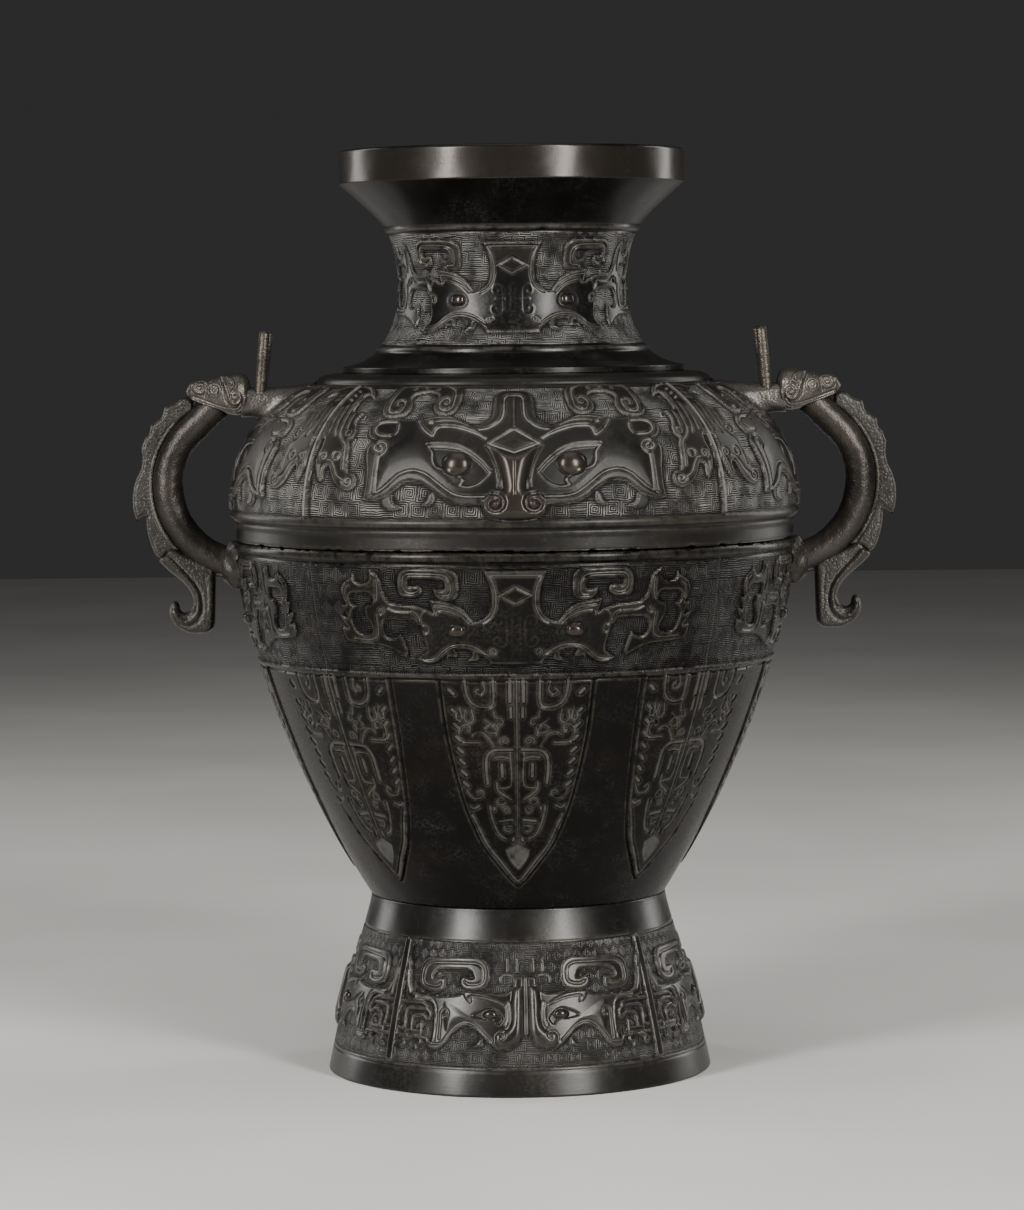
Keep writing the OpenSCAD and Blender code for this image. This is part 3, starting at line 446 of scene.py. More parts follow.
def flat_mask(c, lift, squeeze, eye):
    """Lift moves the mask up its band, squeeze narrows its body, eye is half the eye's size."""
    def at(points):
        return [(x if x < BODY_X else BODY_X + (x - BODY_X) * squeeze, s + lift) for x, s in points]

    c.field(at([(-4, 50.2), (-4, 50.2), (13.8, 50.2), (13.8, 50.2), (12.4, 47), (11.2, 43), (10.6, 38),
                (10.8, 34), (12, 30.6), (14.5, 28), (17, 26.7), (19.4, 26.2), (19.4, 26.2), (21.5, 29),
                (24, 32), (28, 34.5), (33, 36), (39.4, 36.8), (39.4, 36.8), (38.2, 33), (37.8, 30.6),
                (39.4, 31.2), (42, 32.2), (44.6, 28), (44.2, 24), (43.6, 20.5), (42.6, 16.5), (42.4, 12.6),
                (44.5, 10.2), (48, 8.4), (48, 8.4), (44, 6.6), (40, 6.8), (36.5, 8.4), (33.5, 10.8),
                (30, 13), (25, 13.8), (20, 12.6), (16, 10.6), (12.8, 8.4), (12.2, 6.4), (12.2, 6.4),
                (-4, 6.2), (-4, 6.2)]), 1.2)
    c.field(at([(42, 32), (46, 33.8), (52, 34.3), (58, 35), (60.5, 36.8), (62, 40), (63.2, 45), (65, 48.5),
                (68.4, 50.6), (68.4, 50.6), (68, 47.5), (68.6, 45.4), (71, 44), (74, 44), (76.4, 45.4),
                (77.2, 48.6), (77.2, 48.6), (78.4, 46.2), (81, 45), (83.4, 43), (84.2, 40), (83.4, 36.6),
                (82, 33.8), (85, 33.4), (85, 33.4), (83, 30.6), (82.4, 27.4), (86.4, 28.6), (86.4, 28.6),
                (84.4, 25.4), (82.2, 22.6), (86, 22.8), (86, 22.8), (85.6, 19.6), (84, 16.8), (80, 15.9),
                (75, 15.4), (66, 14.8), (60, 13.2), (56, 11), (53.2, 9.2), (53.2, 9.2), (52.4, 12.4),
                (53.4, 16.4), (54.8, 20.8), (54.8, 20.8), (57, 18.6), (60, 18), (62.6, 19.4), (63.8, 22.5),
                (63.2, 26), (61, 27.8), (57, 28.2), (51, 28), (47.5, 27.6), (45.6, 25), (43.4, 26),
                (43.8, 28.5)]), 1.2)
    c.hole(at([(67.5, 38.5), (69.4, 40), (73, 40), (77.5, 39.9), (79.7, 38.6), (80, 36), (79, 34), (77, 33),
               (79.4, 31), (80, 28.4), (79.2, 24.4), (77.8, 21.4), (75.2, 19.9), (71.5, 19.9), (69.4, 21),
               (69.2, 23.5), (70.5, 26.5), (72, 29), (72, 31.5), (71.4, 33.6), (69, 34.2), (67.4, 35.8)]))
    c.field(at([(26, 40), (26, 47.5), (27.5, 50), (30.5, 51.2), (48, 51.4), (52, 50.4), (54, 47), (54, 41),
                (52.6, 38.8), (48, 38.2), (44.8, 38.8), (43, 40.6), (43.2, 42.8), (45, 43.4), (48.4, 43),
                (49.6, 44), (49.4, 46.4), (47.5, 47.2), (40, 46.9), (33.5, 46.7), (32, 45.6), (31.8, 42.6),
                (33, 41.4), (35.5, 41.6), (37.2, 42.2), (37.2, 42.2), (36.5, 39.4), (34.5, 37.4),
                (31, 36.8), (27.6, 37.6)]), 1.3)
    c.groove(at([(44.8, 41), (47, 40.3), (50.2, 40.7), (51.6, 42.6), (51.5, 47), (49.5, 49), (44, 49.3),
                 (34, 49), (30.6, 47.6), (29.3, 44.6), (29.3, 41), (30.4, 39.4), (33.4, 39.2)]), 1.3, 0.9)
    c.groove(at([(-1, 48.5), (11.6, 48.5), (11.6, 48.5), (10, 45), (9, 41), (8.8, 37), (9.2, 33.4),
                 (10.6, 30), (13, 27.6), (15.4, 26.2)]), 1.0)
    c.groove(at([(0, 43.2), (7.4, 39.2), (0, 35.4)]), 1.0, 0.7, smooth=False)
    c.groove(at([(20.4, 26.6), (23, 29.8), (27, 32.6), (32, 34.2), (37, 34.8)]), 1.0)
    c.groove(at([(21.6, 26.2), (25, 29.2), (30, 31.4), (35.4, 32.2), (36.6, 30.4), (37.6, 32.6),
                 (38.6, 35.6)]), 0.9, 0.6)
    scroll = [(6.4, 26.6), (7.2, 25.6), (8.8, 25.8), (9.5, 27.4), (8.8, 29.2), (7, 30), (5.2, 29.4),
              (4.4, 27.4), (4.2, 23), (4.2, 17.4), (5, 15.4), (7, 14.9), (9, 15.8), (10, 17.8), (9.4, 19.4),
              (7.8, 19.4), (7.2, 18.4)]
    c.thread(at(scroll), 1.4, 0.13)
    c.thread(at([(4.2, 22.8), (8, 22.9)]), 1.4, 0.13)
    up = c.s - lift
    c.high -= 0.2 * ease(1 - np.abs(c.x) / 2.2) * ease((up - 8) / 2) * ease((31 - up) / 2)
    c.swell(at([(21.4, 22), (24, 26), (29, 27), (33.6, 24), (33, 19.6), (28, 17.6), (23.4, 18.6)]),
            -0.15, 1.6)
    c.dome(27.2, 22.4 + lift, *eye, 2.4, 2.8)
    jaw = [(13, 10.6), (16, 12.8), (20, 14.9), (25, 15.9), (30, 15.3), (34, 13), (37, 10.2), (40, 8.7),
           (43.5, 8.3), (46, 8.6)]
    c.groove(at(jaw), 0.9)
    c.swell(at(jaw + [(44, 6.6), (40, 6.8), (36.5, 8.4), (33.5, 10.8), (30, 13), (25, 13.8), (20, 12.6),
                      (16, 10.6)]), 0.5, 1)
    c.groove(spiral(10.6, 12.4 + lift, 2.0, 0.6, 1.3, 300, 1), 0.8, 0.6, smooth=False)
    c.field(at([(18, 12), (18.2, 8.4), (22.6, 7.6), (22.6, 7.6), (20.6, 10), (20.4, 12.4)]), 1.1)
    c.field(at([(29.6, 13), (28, 9.8), (31.8, 10), (33, 9), (33, 9), (32.4, 11.4)]), 1.1)
    c.groove(at([(45, 25), (42.4, 25.2), (40.6, 23.8), (40.8, 21.9), (42.6, 21.5), (43.4, 22.6)]), 0.8, 0.6)
    c.groove(at([(44.4, 27.6), (46, 30.4), (48.6, 32)]), 1.0, 0.6)
    c.groove(at([(49.4, 31.6), (56, 31.8), (60, 33.4)]), 0.9, 0.6)
    c.groove(spiral(*at([(63.4, 31.6)])[0], 2.2, 0.6, 1.2, 120, 1), 0.8, 0.6, smooth=False)
    c.groove(at([(65, 46.4), (64.6, 41), (65.4, 36.6)]), 1.0, 0.6)
    c.groove(at([(66.4, 30), (66, 24), (67, 19), (72, 17.4), (80, 18)]), 1.0, 0.6)
    c.groove(at([(79.4, 43.4), (81.6, 42), (82.2, 38.8), (81.2, 36)]), 0.9, 0.6)


print("drawn: the flat mask of neck and belly")

# %% [markdown]
# ## The masks of the foot and the hanging blades
# The foot carries four smaller masks with twin trunks that curl outwards, and a squared dragon at
# each side. Below the belly's ridge hang eight long blades. Their flats are dark, and scrolls,
# eyes and bars are cut into them, mirrored on a middle vein.

# %% Foot mask
def foot_mask(c):
    c.field([(-4, 42.5), (-4, 42.5), (5, 42.4), (5.4, 39), (7.2, 36.2), (10, 34.7), (17, 35), (24, 35.6),
             (29.8, 35.6), (29.8, 35.6), (31.5, 33.8), (36, 32.9), (45, 32.3), (54, 32.8), (57, 34.6),
             (58.6, 38), (60, 43), (61.4, 47.5), (62.8, 50.8), (62.8, 50.8), (63, 46), (62, 40), (61, 35.5),
             (60, 31.4), (56, 30.2), (48, 30.6), (44.4, 28.6), (43.4, 24), (43, 18), (43.4, 12),
             (45.2, 9.2), (45.2, 9.2), (44.4, 8), (41, 7.9), (38.6, 9.2), (36.6, 11.8), (34.4, 15.4),
             (31.4, 18.3), (27.6, 19.6), (23, 18.2), (19.6, 15), (16.8, 11.8), (14.8, 10.2), (12.5, 8.9),
             (8.4, 8.8), (4.2, 11), (1.9, 15), (-4, 15), (-4, 15)], 1.3)
    c.swell([(1.4, 38), (1.3, 20), (1.9, 15), (4.2, 11.2), (8, 9), (12, 9.3), (14.7, 12.4), (14.5, 15.8),
             (12.4, 17.5), (9.8, 17.2), (7.6, 19.6), (6.8, 24), (7, 30), (6, 37)], 1.7, 3.2)
    c.groove([(0, 42), (0, 14.5)], 2.4, 1.3)
    c.groove([(13.9, 12.4), (14, 15), (12.4, 16.8), (10.2, 16.4), (9.5, 14.6), (10.6, 13.5)], 0.9, 0.8)
    c.groove([(7.8, 31), (7, 26), (7.2, 21.5), (8.6, 18.2)], 0.9, 0.7)
    c.groove([(9.4, 30), (8.6, 26), (8.9, 22.4), (9.8, 20)], 0.7, 0.4)
    c.groove([(12, 41), (11.5, 43), (9.5, 44), (6.4, 43.4), (5.2, 41), (5.8, 38.6)], 0.9, 0.5)
    c.thread([(12.2, 40.6), (11.8, 43), (9.8, 44.3), (6.6, 43.9)], 1.0, 0.7)
    c.swell([(10.5, 30.3), (14, 32.8), (19, 34.8), (24, 35.5), (29.8, 35.5), (28.4, 32), (26.2, 30),
             (26.6, 33), (22, 33), (17, 32), (13, 30.4)], 0.6, 1)
    c.groove([(10.4, 29.6), (13, 30.8), (17, 32.2), (22, 33.2), (26.2, 33.2), (25.8, 30.6)], 0.8, 0.6)
    c.swell([(10.2, 23.4), (12.6, 26.4), (16, 28.2), (20, 27.6), (25, 25), (24, 23.4), (19.5, 22.4),
             (15, 22), (12.8, 19.8), (11, 21)], -0.9, 0.9)
    c.dome(16.4, 25, 3.5, 2.3, 2.2)
    c.swell([(20, 21), (26, 24), (34, 29), (39, 30), (38, 20), (36, 16), (32, 20.4), (27, 22)], 0.6, 4)
    c.groove([(16, 12.6), (19.4, 16.2), (23, 19.6), (27.4, 21.3), (31.4, 20), (34.8, 16.4), (37.2, 12.6),
              (39.4, 10.4), (43.6, 10.2)], 0.9, 0.8)
    c.field([(20.2, 13.6), (19, 10.2), (19, 10.2), (22.8, 10), (22.8, 10), (21.4, 12)], 1.2)
    c.groove([(39.8, 12.4), (39.9, 20), (40.1, 25.2), (38.8, 26.9), (36.8, 26.5), (36.1, 24.8),
              (36.9, 23.4), (38.2, 23.4)], 0.9)
    c.groove([(42.2, 12), (41.9, 20), (42.4, 26), (43.6, 29.4), (46, 31.4), (54, 31.6)], 0.8, 0.6)
    c.groove([(57.4, 33.6), (59.6, 38), (61, 44)], 0.8, 0.5)


def foot_horn_and_dragon(c):
    c.field([(17.6, 45), (17.8, 40.5), (19.4, 38), (22.5, 36.9), (28.5, 36.8), (31, 38.4), (31.8, 41),
             (30.4, 42.6), (30.4, 42.6), (28, 41.7), (25, 41.8), (25.4, 43.4), (26.4, 45.4), (28.5, 46.4),
             (35, 46.6), (42, 46.2), (45, 45), (46.4, 42.8), (46, 41.4), (42.5, 41.4), (40.2, 41.4),
             (40.2, 41.4), (39.4, 39), (40, 36.4), (43, 35.3), (48, 35.3), (52, 36.8), (53.8, 40), (54, 46),
             (52.8, 49), (49.5, 51), (42, 51.5), (26, 51.8), (21.5, 51.2), (18.6, 48.6)], 1.3)
    c.groove([(29.4, 40.2), (27.6, 39.2), (24, 39.2), (21.2, 40.4), (20.3, 43), (20.6, 46.2), (22.4, 48.4),
              (26, 49.3), (40, 49), (47.6, 48.4), (50.6, 46.4), (51.4, 42), (50.4, 39), (47, 37.8),
              (43.4, 37.8), (42, 39)], 1.1, 0.8)
    for x in (4.0, 8.8):
        c.thread([(x, 46), (x, 51.6)], 1.6, 0.6)
    for line in ([(62, 29.2), (51, 29.2), (47.6, 27.6)],
                 [(48.4, 22.4), (46.8, 21.4), (45.5, 22.6), (45.9, 24.6), (47.6, 26.2), (51, 26.8),
                  (57, 26.4), (59, 24.8), (59.2, 20), (58.8, 17), (61.6, 16.2)],
                 [(49.5, 23.4), (53.2, 23), (55, 21.4), (55, 16.4), (54.6, 15)],
                 [(49.4, 15), (50, 19), (52, 17.4)],
                 [(61.8, 12.9), (50, 12.9), (46.2, 12.2), (45.6, 10.8)],
                 [(49.8, 12.2), (49.4, 9.8), (51.6, 8.8), (51, 7.2)],
                 [(55, 12), (58.2, 11), (58, 8.8), (59.6, 7.6)]):
        c.thread(line, 1.7, 1.1)
    c.field([(49.4, 15.8), (58.6, 15.8), (58.6, 15.8), (58.4, 13.6), (58.4, 13.6), (49.2, 13.6),
             (49.2, 13.6)], 1.1)


def foot_panel(c):
    foot_mask(c)
    foot_horn_and_dragon(c)
    c.thread([(65.2, -2), (65.2, 62)], 4.4, 1.5)


print("drawn: foot mask, horn, squared dragon and flange")

# %% Hanging blade
def blade(c):
    outline = [(-4, 126), (-4, 126), (30, 126), (30, 126), (29.6, 100), (28.6, 85), (27, 70), (25, 57),
               (22, 45), (18, 34), (11.4, 24), (4.4, 15), (0, 11), (-4, 11)]
    c.field(outline, 0.9, 0.8, rim=0)
    c.groove([(x + 1.0, s - 0.4) for x, s in outline[3:-1]], 0.9, 0.6, line_dust_and_sheen=False)
    c.groove([(22.6, 52), (20, 45), (16.2, 35), (9.6, 25.4), (3.4, 17), (0, 13.6)], 2.2, 0.7)
    c.groove([(0, 124), (0, 37)], 1.0, 0.8)
    c.groove([(2.6, 124), (2.7, 112)], 2.2, 0.6)
    c.groove([(20.4, 124), (19.8, 116), (18, 111.4), (14.4, 109.2), (10.4, 109.8), (9.2, 113), (9.2, 124)],
             1.5, 0.7)
    c.groove([(13.2, 122), (12.6, 118), (14.6, 115.6), (16.2, 117.4), (14.8, 119)], 1.0, 0.6)
    c.groove([(2.4, 109), (2.4, 104)], 1.8, 0.6)
    c.groove([(9.4, 107.4), (8.6, 104), (6.4, 103.6), (5.6, 101.6), (6.8, 100.2), (8, 101.4)], 0.9, 0.6)
    c.groove([(8.4, 94.6), (9, 98), (10.6, 100.8), (13.4, 103)], 0.9, 0.6)
    c.groove([(13.6, 98.4), (11.2, 100.4), (8.4, 100), (8.2, 97.2), (10.6, 95.8), (13, 97)], 0.9, 0.6)
    c.groove([(18.4, 108), (17.8, 103), (19.6, 101.2), (21.6, 103.4), (20.8, 108)], 1.1, 0.6)
    c.groove([(23.2, 109), (22.6, 103.6), (24.6, 102.6), (25, 106)], 1.2, 0.6)
    c.groove([(15.8, 91), (22.6, 91.2), (24.2, 93.6), (24.2, 97.6), (22, 100.4), (19.6, 99.6), (19.6, 97.6),
              (21.2, 97.2)], 1.2, 0.6)
    c.groove([(19, 94.8), (17, 96.4), (13.8, 95.8), (11.4, 92.4), (9.6, 88.6)], 1.0, 0.6)
    c.groove(spiral(5.2, 92, 2.4, 0.6, 1.3, 330, 1), 0.9, 0.6, smooth=False)
    c.groove([(13.6, 69.2), (13.8, 78), (13, 84), (10, 87), (2, 87.4)], 2.0, 0.6)
    c.groove([(3.4, 82.8), (6.4, 83.6), (10, 83.2)], 1.2, 0.6)
    c.groove([(6.8, 79.6), (6.8, 73)], 2.2, 0.6)
    c.groove([(3, 86), (3, 68.6), (9, 66.8)], 1.0, 0.4)
    c.groove([(9.4, 70), (9.2, 66), (6.6, 63.4), (3, 60.6)], 1.5, 0.6)
    c.groove(spiral(7.8, 59.8, 2.0, 2.0, 1.0, 0), 1.0, 0.6, smooth=False)
    c.groove(spiral(5.6, 55, 2.2, 0.6, 1.3, 30, 1), 0.9, 0.6, smooth=False)
    c.groove([(13.4, 57), (13, 52), (11.6, 46), (9.4, 41), (6, 38.8)], 1.6, 0.6)
    c.groove([(11.2, 56.4), (11.4, 55)], 1.8, 0.6)
    c.groove([(2.6, 49.6), (9, 48.8)], 2.0, 0.4)
    c.groove([(3, 46), (7, 45.8), (5.6, 43), (3, 43.6)], 1.0, 0.6)
    c.groove([(2.2, 39.4), (2.6, 37.6)], 2.2, 0.6)
    c.groove([(24, 66), (21, 61.4), (17.4, 61.8), (15.8, 64), (17.2, 65.8), (18.8, 64.6)], 1.1, 0.6)
    c.groove([(18.6, 57.2), (21.4, 55.8), (23, 57)], 1.8, 0.6)
    c.field([(0, 36), (0, 36), (2, 33.6), (6.4, 32.6), (6.4, 32.6), (4.6, 27), (0, 21.4), (0, 21.4)], 0.2)
    c.sink([(-4, 36), (0.6, 35.6), (6.4, 32.6), (6.4, 32.6), (4.4, 27), (0, 21.4), (-4, 21.4)], 0.6)
    for s in (118, 108, 100.6, 94, 88, 82, 76, 70):
        c.groove([(26.8 - (118 - s) * 0.045, s), (25.2 - (118 - s) * 0.05, s - 2)], 2.6, 0.5)
    c.ground[:] = 0


print("drawn: hanging blade")

# %% [markdown]
# ## From flat patches to round walls
# Each wall becomes one closed mesh of rows and columns: rows climb the outside, cross the top and
# come down the inside. A row knows which way the wall faces, so the carved height moves a point
# straight out of the metal. The carved half panel is mirrored and repeated round the ring. For the
# finish we also store, at every point, how near a line it is, how worn, how far it lies below its
# surroundings (for painted shade in the hollows beside the motifs) and how high up.

# %% Rings and mouldings
def round_the_wall(halves):
    """Mirrors half panels and sets them side by side, from the first panel's left edge onwards."""
    n = halves[0].shape[1] - 1
    order = np.concatenate([np.arange(n, 0, -1), np.arange(0, n)])
    return np.concatenate([half[:, order] for half in halves], axis=1)


def rings_of(panels, rows, total, columns):
    """The carved heights and finish masks of a row of panels, set at their rows in full rings."""
    made = {}
    for key in ("high", "ground", "pale_dust_and_sheen", "bright"):
        made[key] = np.zeros((total, columns))
        made[key][rows] = round_the_wall([getattr(c, key) for c in panels])[:rows.stop - rows.start]
    return made


def bead(z, at, r, proud):
    """Height of a round moulding; proud is how far it stands out."""
    return np.maximum(np.sqrt(np.clip(r * r - (z - at) ** 2, 0, None)) + proud - r, 0)


def scribed(z, at, r=0.8, deep=0.5):
    """Height of a line cut all round the wall."""
    return -deep * ease(1 - np.abs(z - at) / r)


def blurred(a, times):
    """Softens a ring of heights, round the ring and up it."""
    for _ in range(times):
        a = (np.roll(a, 1, 1) + 2 * a + np.roll(a, -1, 1)) / 4
        up = np.concatenate([a[:1], a[:-1]])
        down = np.concatenate([a[1:], a[-1:]])
        a = (up + 2 * a + down) / 4
    return a


def uneven(theta, z, seed):
    """The slow waves of a hand-finished casting, mostly between -1 and 1."""
    rng = np.random.default_rng(seed)
    total = np.zeros(np.broadcast(theta, z).shape)
    for turns, climb in ((2, 0.02), (3, 0.05), (5, 0.03), (7, 0.09), (11, 0.06), (17, 0.14), (26, 0.2)):
        a, b = rng.uniform(0, 6.28, 2)
        total += np.sin(turns * theta + a) * np.sin(climb * z + b)
    return total / 3


print("a bead of radius 2.6 mm stands out by", float(bead(0, 0, 2.6, 1.3)), "mm")

# %% One closed mesh from rows and columns
def closed_rows(name, xyz, attributes=None, wrap_rows=True):
    """A mesh of quads; the columns join up, and so do the rows when wrap_rows is true."""
    rows, columns = xyz.shape[:2]
    mesh = bpy.data.meshes.new(name)
    mesh.vertices.add(rows * columns)
    mesh.vertices.foreach_set("co", (xyz * MM).astype(np.float32).ravel())
    spans = rows if wrap_rows else rows - 1
    i, j = np.meshgrid(np.arange(spans), np.arange(columns), indexing="ij")
    i2, j2 = (i + 1) % rows, (j + 1) % columns
    quads = np.stack([i * columns + j, i * columns + j2, i2 * columns + j2, i2 * columns + j], axis=-1)
    count = spans * columns
    mesh.loops.add(4 * count)
    mesh.loops.foreach_set("vertex_index", quads.astype(np.int32).ravel())
    mesh.polygons.add(count)
    mesh.polygons.foreach_set("loop_start", np.arange(0, 4 * count, 4, dtype=np.int32))
    mesh.polygons.foreach_set("use_smooth", np.ones(count, bool))
    uv = np.stack([np.stack([j, j + 1, j + 1, j], -1) / columns,
                   np.stack([i, i, i + 1, i + 1], -1) / spans], axis=-1)
    mesh.uv_layers.new(name="OFBake").data.foreach_set("uv", uv.astype(np.float32).ravel())
    for key, values in (attributes or {}).items():
        stored = mesh.attributes.new(key, "FLOAT", "POINT")
        stored.data.foreach_set("value", values.astype(np.float32).ravel())
    mesh.update()
    mesh.validate()
    piece = bpy.data.objects.new(name, mesh)
    bpy.context.collection.objects.link(piece)
    return piece


def outward(along):
    """The direction out of the metal, as radius and height, where a line runs along a direction."""
    out = np.stack([along[:, 1], -along[:, 0]], axis=1)
    return out / np.maximum(np.hypot(*out.T), 1e-9)[:, None]


WAVE_MM = 0.12


def turned_wall(name, section, columns, start, high, stored, seed):
    """Spins a closed section and lifts its first rows by the ring of heights."""
    count, carved = len(section), high.shape[0]
    theta = math.radians(start) + 2 * math.pi * np.arange(columns) / columns
    full = np.zeros((count, columns))
    full[:carved] = high
    smooth = blurred(full[:carved], 3)
    wear = np.zeros_like(full)
    wear[:carved] = np.clip((full[:carved] - smooth) / 0.16, 0, 1)
    # How far a point lies below its softened surroundings, kept for painted shade in the hollows beside the
    # motifs.
    hollow = np.zeros_like(full)
    hollow[:carved] = np.clip((blurred(full[:carved], 10) - full[:carved]) / 0.2, 0, 1)
    full[:carved] += WAVE_MM * uneven(theta[None, :], section[:carved, 1:2], seed)
    face = outward(np.roll(section, -1, 0) - np.roll(section, 1, 0))
    r = section[:, :1] + face[:, :1] * full
    z = section[:, 1:] + face[:, 1:] * full
    xyz = np.stack([r * np.cos(theta), r * np.sin(theta), z], axis=-1)
    masks = {key: np.zeros((count, columns)) for key in stored}
    for key, values in stored.items():
        masks[key][:carved] = values
    masks.update(wear=wear, hollow=hollow, climb=np.repeat(run_along(section)[:, None], columns, 1))
    piece = closed_rows(name, xyz, attributes=masks)
    print(name, len(piece.data.vertices), "points, highest relief", round(float(high.max()), 2), "mm")
    return piece


print("ready to spin the four walls")

# %% [markdown]
# ## The four castings
# Now each wall gets its section, its mouldings and its ornament. The upper bead sits on the
# shoulder and the lower one on the belly, and between them runs the old seam where the two halves
# of the body were joined: it has opened here and there, so its edges are nibbled unevenly. A panel
# is carved flat, at the width that it has near the middle of its band.

# %% Wall thickness, seams and finish masks
PANEL_START, NECK_START = -135, -180
FOOT_TURN = 2.0
CARVED_STEP = 0.45
SEAM = 0.05
WAIST_BEAD = 2.6, 1.3
THIN_BEAD = 1.4, 0.9


def offset_in(line, wall):
    """The same line moved into the metal."""
    return line - outward(np.gradient(line, axis=0)) * wall


def nibble(theta, seed):
    """How strongly the seam's edge is eaten away round the ring, from -0.2 to 1.6."""
    rng = np.random.default_rng(seed)
    total = np.zeros_like(theta)
    for turns in (3, 7, 13, 29, 47, 83, 131):
        total += np.sin(turns * theta + rng.uniform(0, 6.28))
    return np.clip(total / 2.2, -0.2, 1.6)


def finish_masks(ring, calm=1.0):
    """What the finish reads at each point: nearness to a line, open ground and polish."""
    # The pale line mask goes to the finish: dust in grooves and painted highlights along raised edges.
    return {"line_dust_and_sheen": ring["pale_dust_and_sheen"], "fine": ring["ground"] * calm, "bright": ring["bright"]}


print("each seam is left open by", 2 * SEAM, "mm, and the foot is turned by", FOOT_TURN, "degrees")

# %% Shoulder
WIDE = 1680
HALF = WIDE // 8
SHOULDER_HALF_MM = 98.17
lower = even(np.array([(136.5, WAIST_Z + SEAM), (136.5, 267.5), (138, BAND_Z)]), 0.5)
band = even(shoulder_line, CARVED_STEP)
ledge = np.concatenate([[(97.6, LEDGE_Z)], even(ledge_line, 0.7), [(78, NECK_Z), (78, LEDGE_Z - 2)]])
inside = even(offset_in(part_of(shoulder_line, BAND_Z, 333), WALL), 4)[::-1]
lap = [(132.6, 268), (132.6, WAIST_Z + SEAM), (134.6, WAIST_Z + SEAM)]
shoulder_section = np.concatenate([lower[:-1], band, ledge, inside, lap])
bold, flat = (Carving(SHOULDER_HALF_MM, HALF, run_along(band)) for _ in range(2))
shoulder_panel(bold, 1.0)
shoulder_panel(flat, 0.2)
start = len(lower) - 1
masks_at = slice(start, start + len(band))
zs = shoulder_section[:masks_at.stop + 20, 1:2]
ring = rings_of([bold, flat] * 2, masks_at, len(zs), WIDE)
calm = ease((zs - BAND_Z - 1.5) / 1.5) * ease((LEDGE_Z - 0.8 - zs) / 0.8)
theta = math.radians(PANEL_START) + 2 * math.pi * np.arange(WIDE) / WIDE
high = ring["high"] * calm
high += bead(zs, BAND_Z, *WAIST_BEAD) + scribed(zs, BAND_Z - 3.4) + scribed(zs, LEDGE_Z - 1, 0.7, 0.4)
high -= ease(1 - (zs - WAIST_Z) / 1.8) * (0.35 + 0.5 * nibble(theta, 3))
stored = finish_masks(ring, calm)
shoulder = turned_wall("shoulder_wall", shoulder_section, WIDE, PANEL_START, high, stored, 11)

# %% Belly
BELLY_HALF_MM, BLADE_HALF_MM = 102.89, 41.23
low_run = even(part_of(belly_line, BELLY_Z + SEAM, BLADE_Z), 0.8)
blade_run = even(part_of(belly_line, BLADE_Z, RIDGE_Z), 0.5)
band_run = even(part_of(belly_line, RIDGE_Z, BELLY_TOP_Z), CARVED_STEP)
top_run = even(part_of(belly_line, BELLY_TOP_Z, WAIST_Z - SEAM), CARVED_STEP)
outer = np.concatenate([low_run[:-1], blade_run[:-1], band_run[:-1], top_run])
inside = even(offset_in(part_of(belly_line, 97, 255), WALL), 5)[::-1]
lap = [(132.3, WAIST_Z - SEAM), (129.4, WAIST_Z - SEAM), (129.4, BELLY_TOP_Z)]
seat = [(65.1, 95.1), (65.1, 91), (59.1, 91), (59.1, 81), (68.1, 81), (68.1, BELLY_Z + SEAM)]
belly_section = np.concatenate([outer, lap, inside, seat])
hang = Carving(BLADE_HALF_MM, HALF // 2, run_along(blade_run))
blade(hang)
carve = Carving(BELLY_HALF_MM, HALF, run_along(band_run))
flat_mask(carve, 0.0, 1.0, (4.0, 2.7))
carve.groove([(102.9, -2), (102.9, 60)], 0.5, 0.25)
zs = outer[:, 1:2]
blades_at = slice(len(low_run) - 1, len(low_run) + len(blade_run) - 2)
masks_at = slice(blades_at.stop, blades_at.stop + len(band_run) - 1)
hung = rings_of([hang] * 8, blades_at, len(outer), WIDE)
ring = {key: values + np.roll(hung[key], HALF // 2, axis=1)
        for key, values in rings_of([carve] * 4, masks_at, len(outer), WIDE).items()}
calm = (1 - ease(1 - np.abs(zs - RIDGE_Z) / 2.4)) * ease((BELLY_TOP_Z - 1.6 - zs) / 0.8)
high = ring["high"] * calm
high += bead(zs, RIDGE_Z, *THIN_BEAD) + bead(zs, WAIST_Z - 2.6, *WAIST_BEAD)
high += scribed(zs, RIDGE_Z - 2) + scribed(zs, BELLY_TOP_Z - 0.8)
high -= ease(1 - (WAIST_Z - zs) / 1.2) * (0.25 + 0.4 * nibble(theta, 5))
stored = finish_masks(ring, calm)
belly = turned_wall("belly_wall", belly_section, WIDE, PANEL_START, high, stored, 23)

# %% Neck
SLIM = 1000
NECK_HALF_MM = 91.11
step_run = even(np.array([(83.5, NECK_Z + SEAM), (83.5, FLARE_Z)]), 0.6)
flare_run = even(flare_line, 0.6)
mask_run = even(neck_line, CARVED_STEP)
trumpet_run = even(trumpet_line, 0.7)
lip_run = np.array([(84.5, z) for z in np.linspace(LIP_Z + 0.5, 448.4, 22)])
rim_run = [(84.4, 449), (84.0, 449.6), (83.2, 449.95), (82, RIM_Z), (79, RIM_Z), (76.4, RIM_Z),
           (75.7, 449.7), (75.4, 449), (75.3, 444), (74.9, 436)]
bore = np.concatenate([offset_in(trumpet_line, WALL)[::-1][12:], offset_in(neck_line, WALL)[::-1]])
spigot = [(61.9, 352), (64, 349.5), (67, 347), (74.8, 346), (74.8, 336), (77.8, 336), (77.8, NECK_Z + SEAM)]
outer = np.concatenate([step_run[:-1], flare_run[:-1], mask_run[:-1], trumpet_run, lip_run])
neck_section = np.concatenate([outer, rim_run, even(bore, 3), spigot])
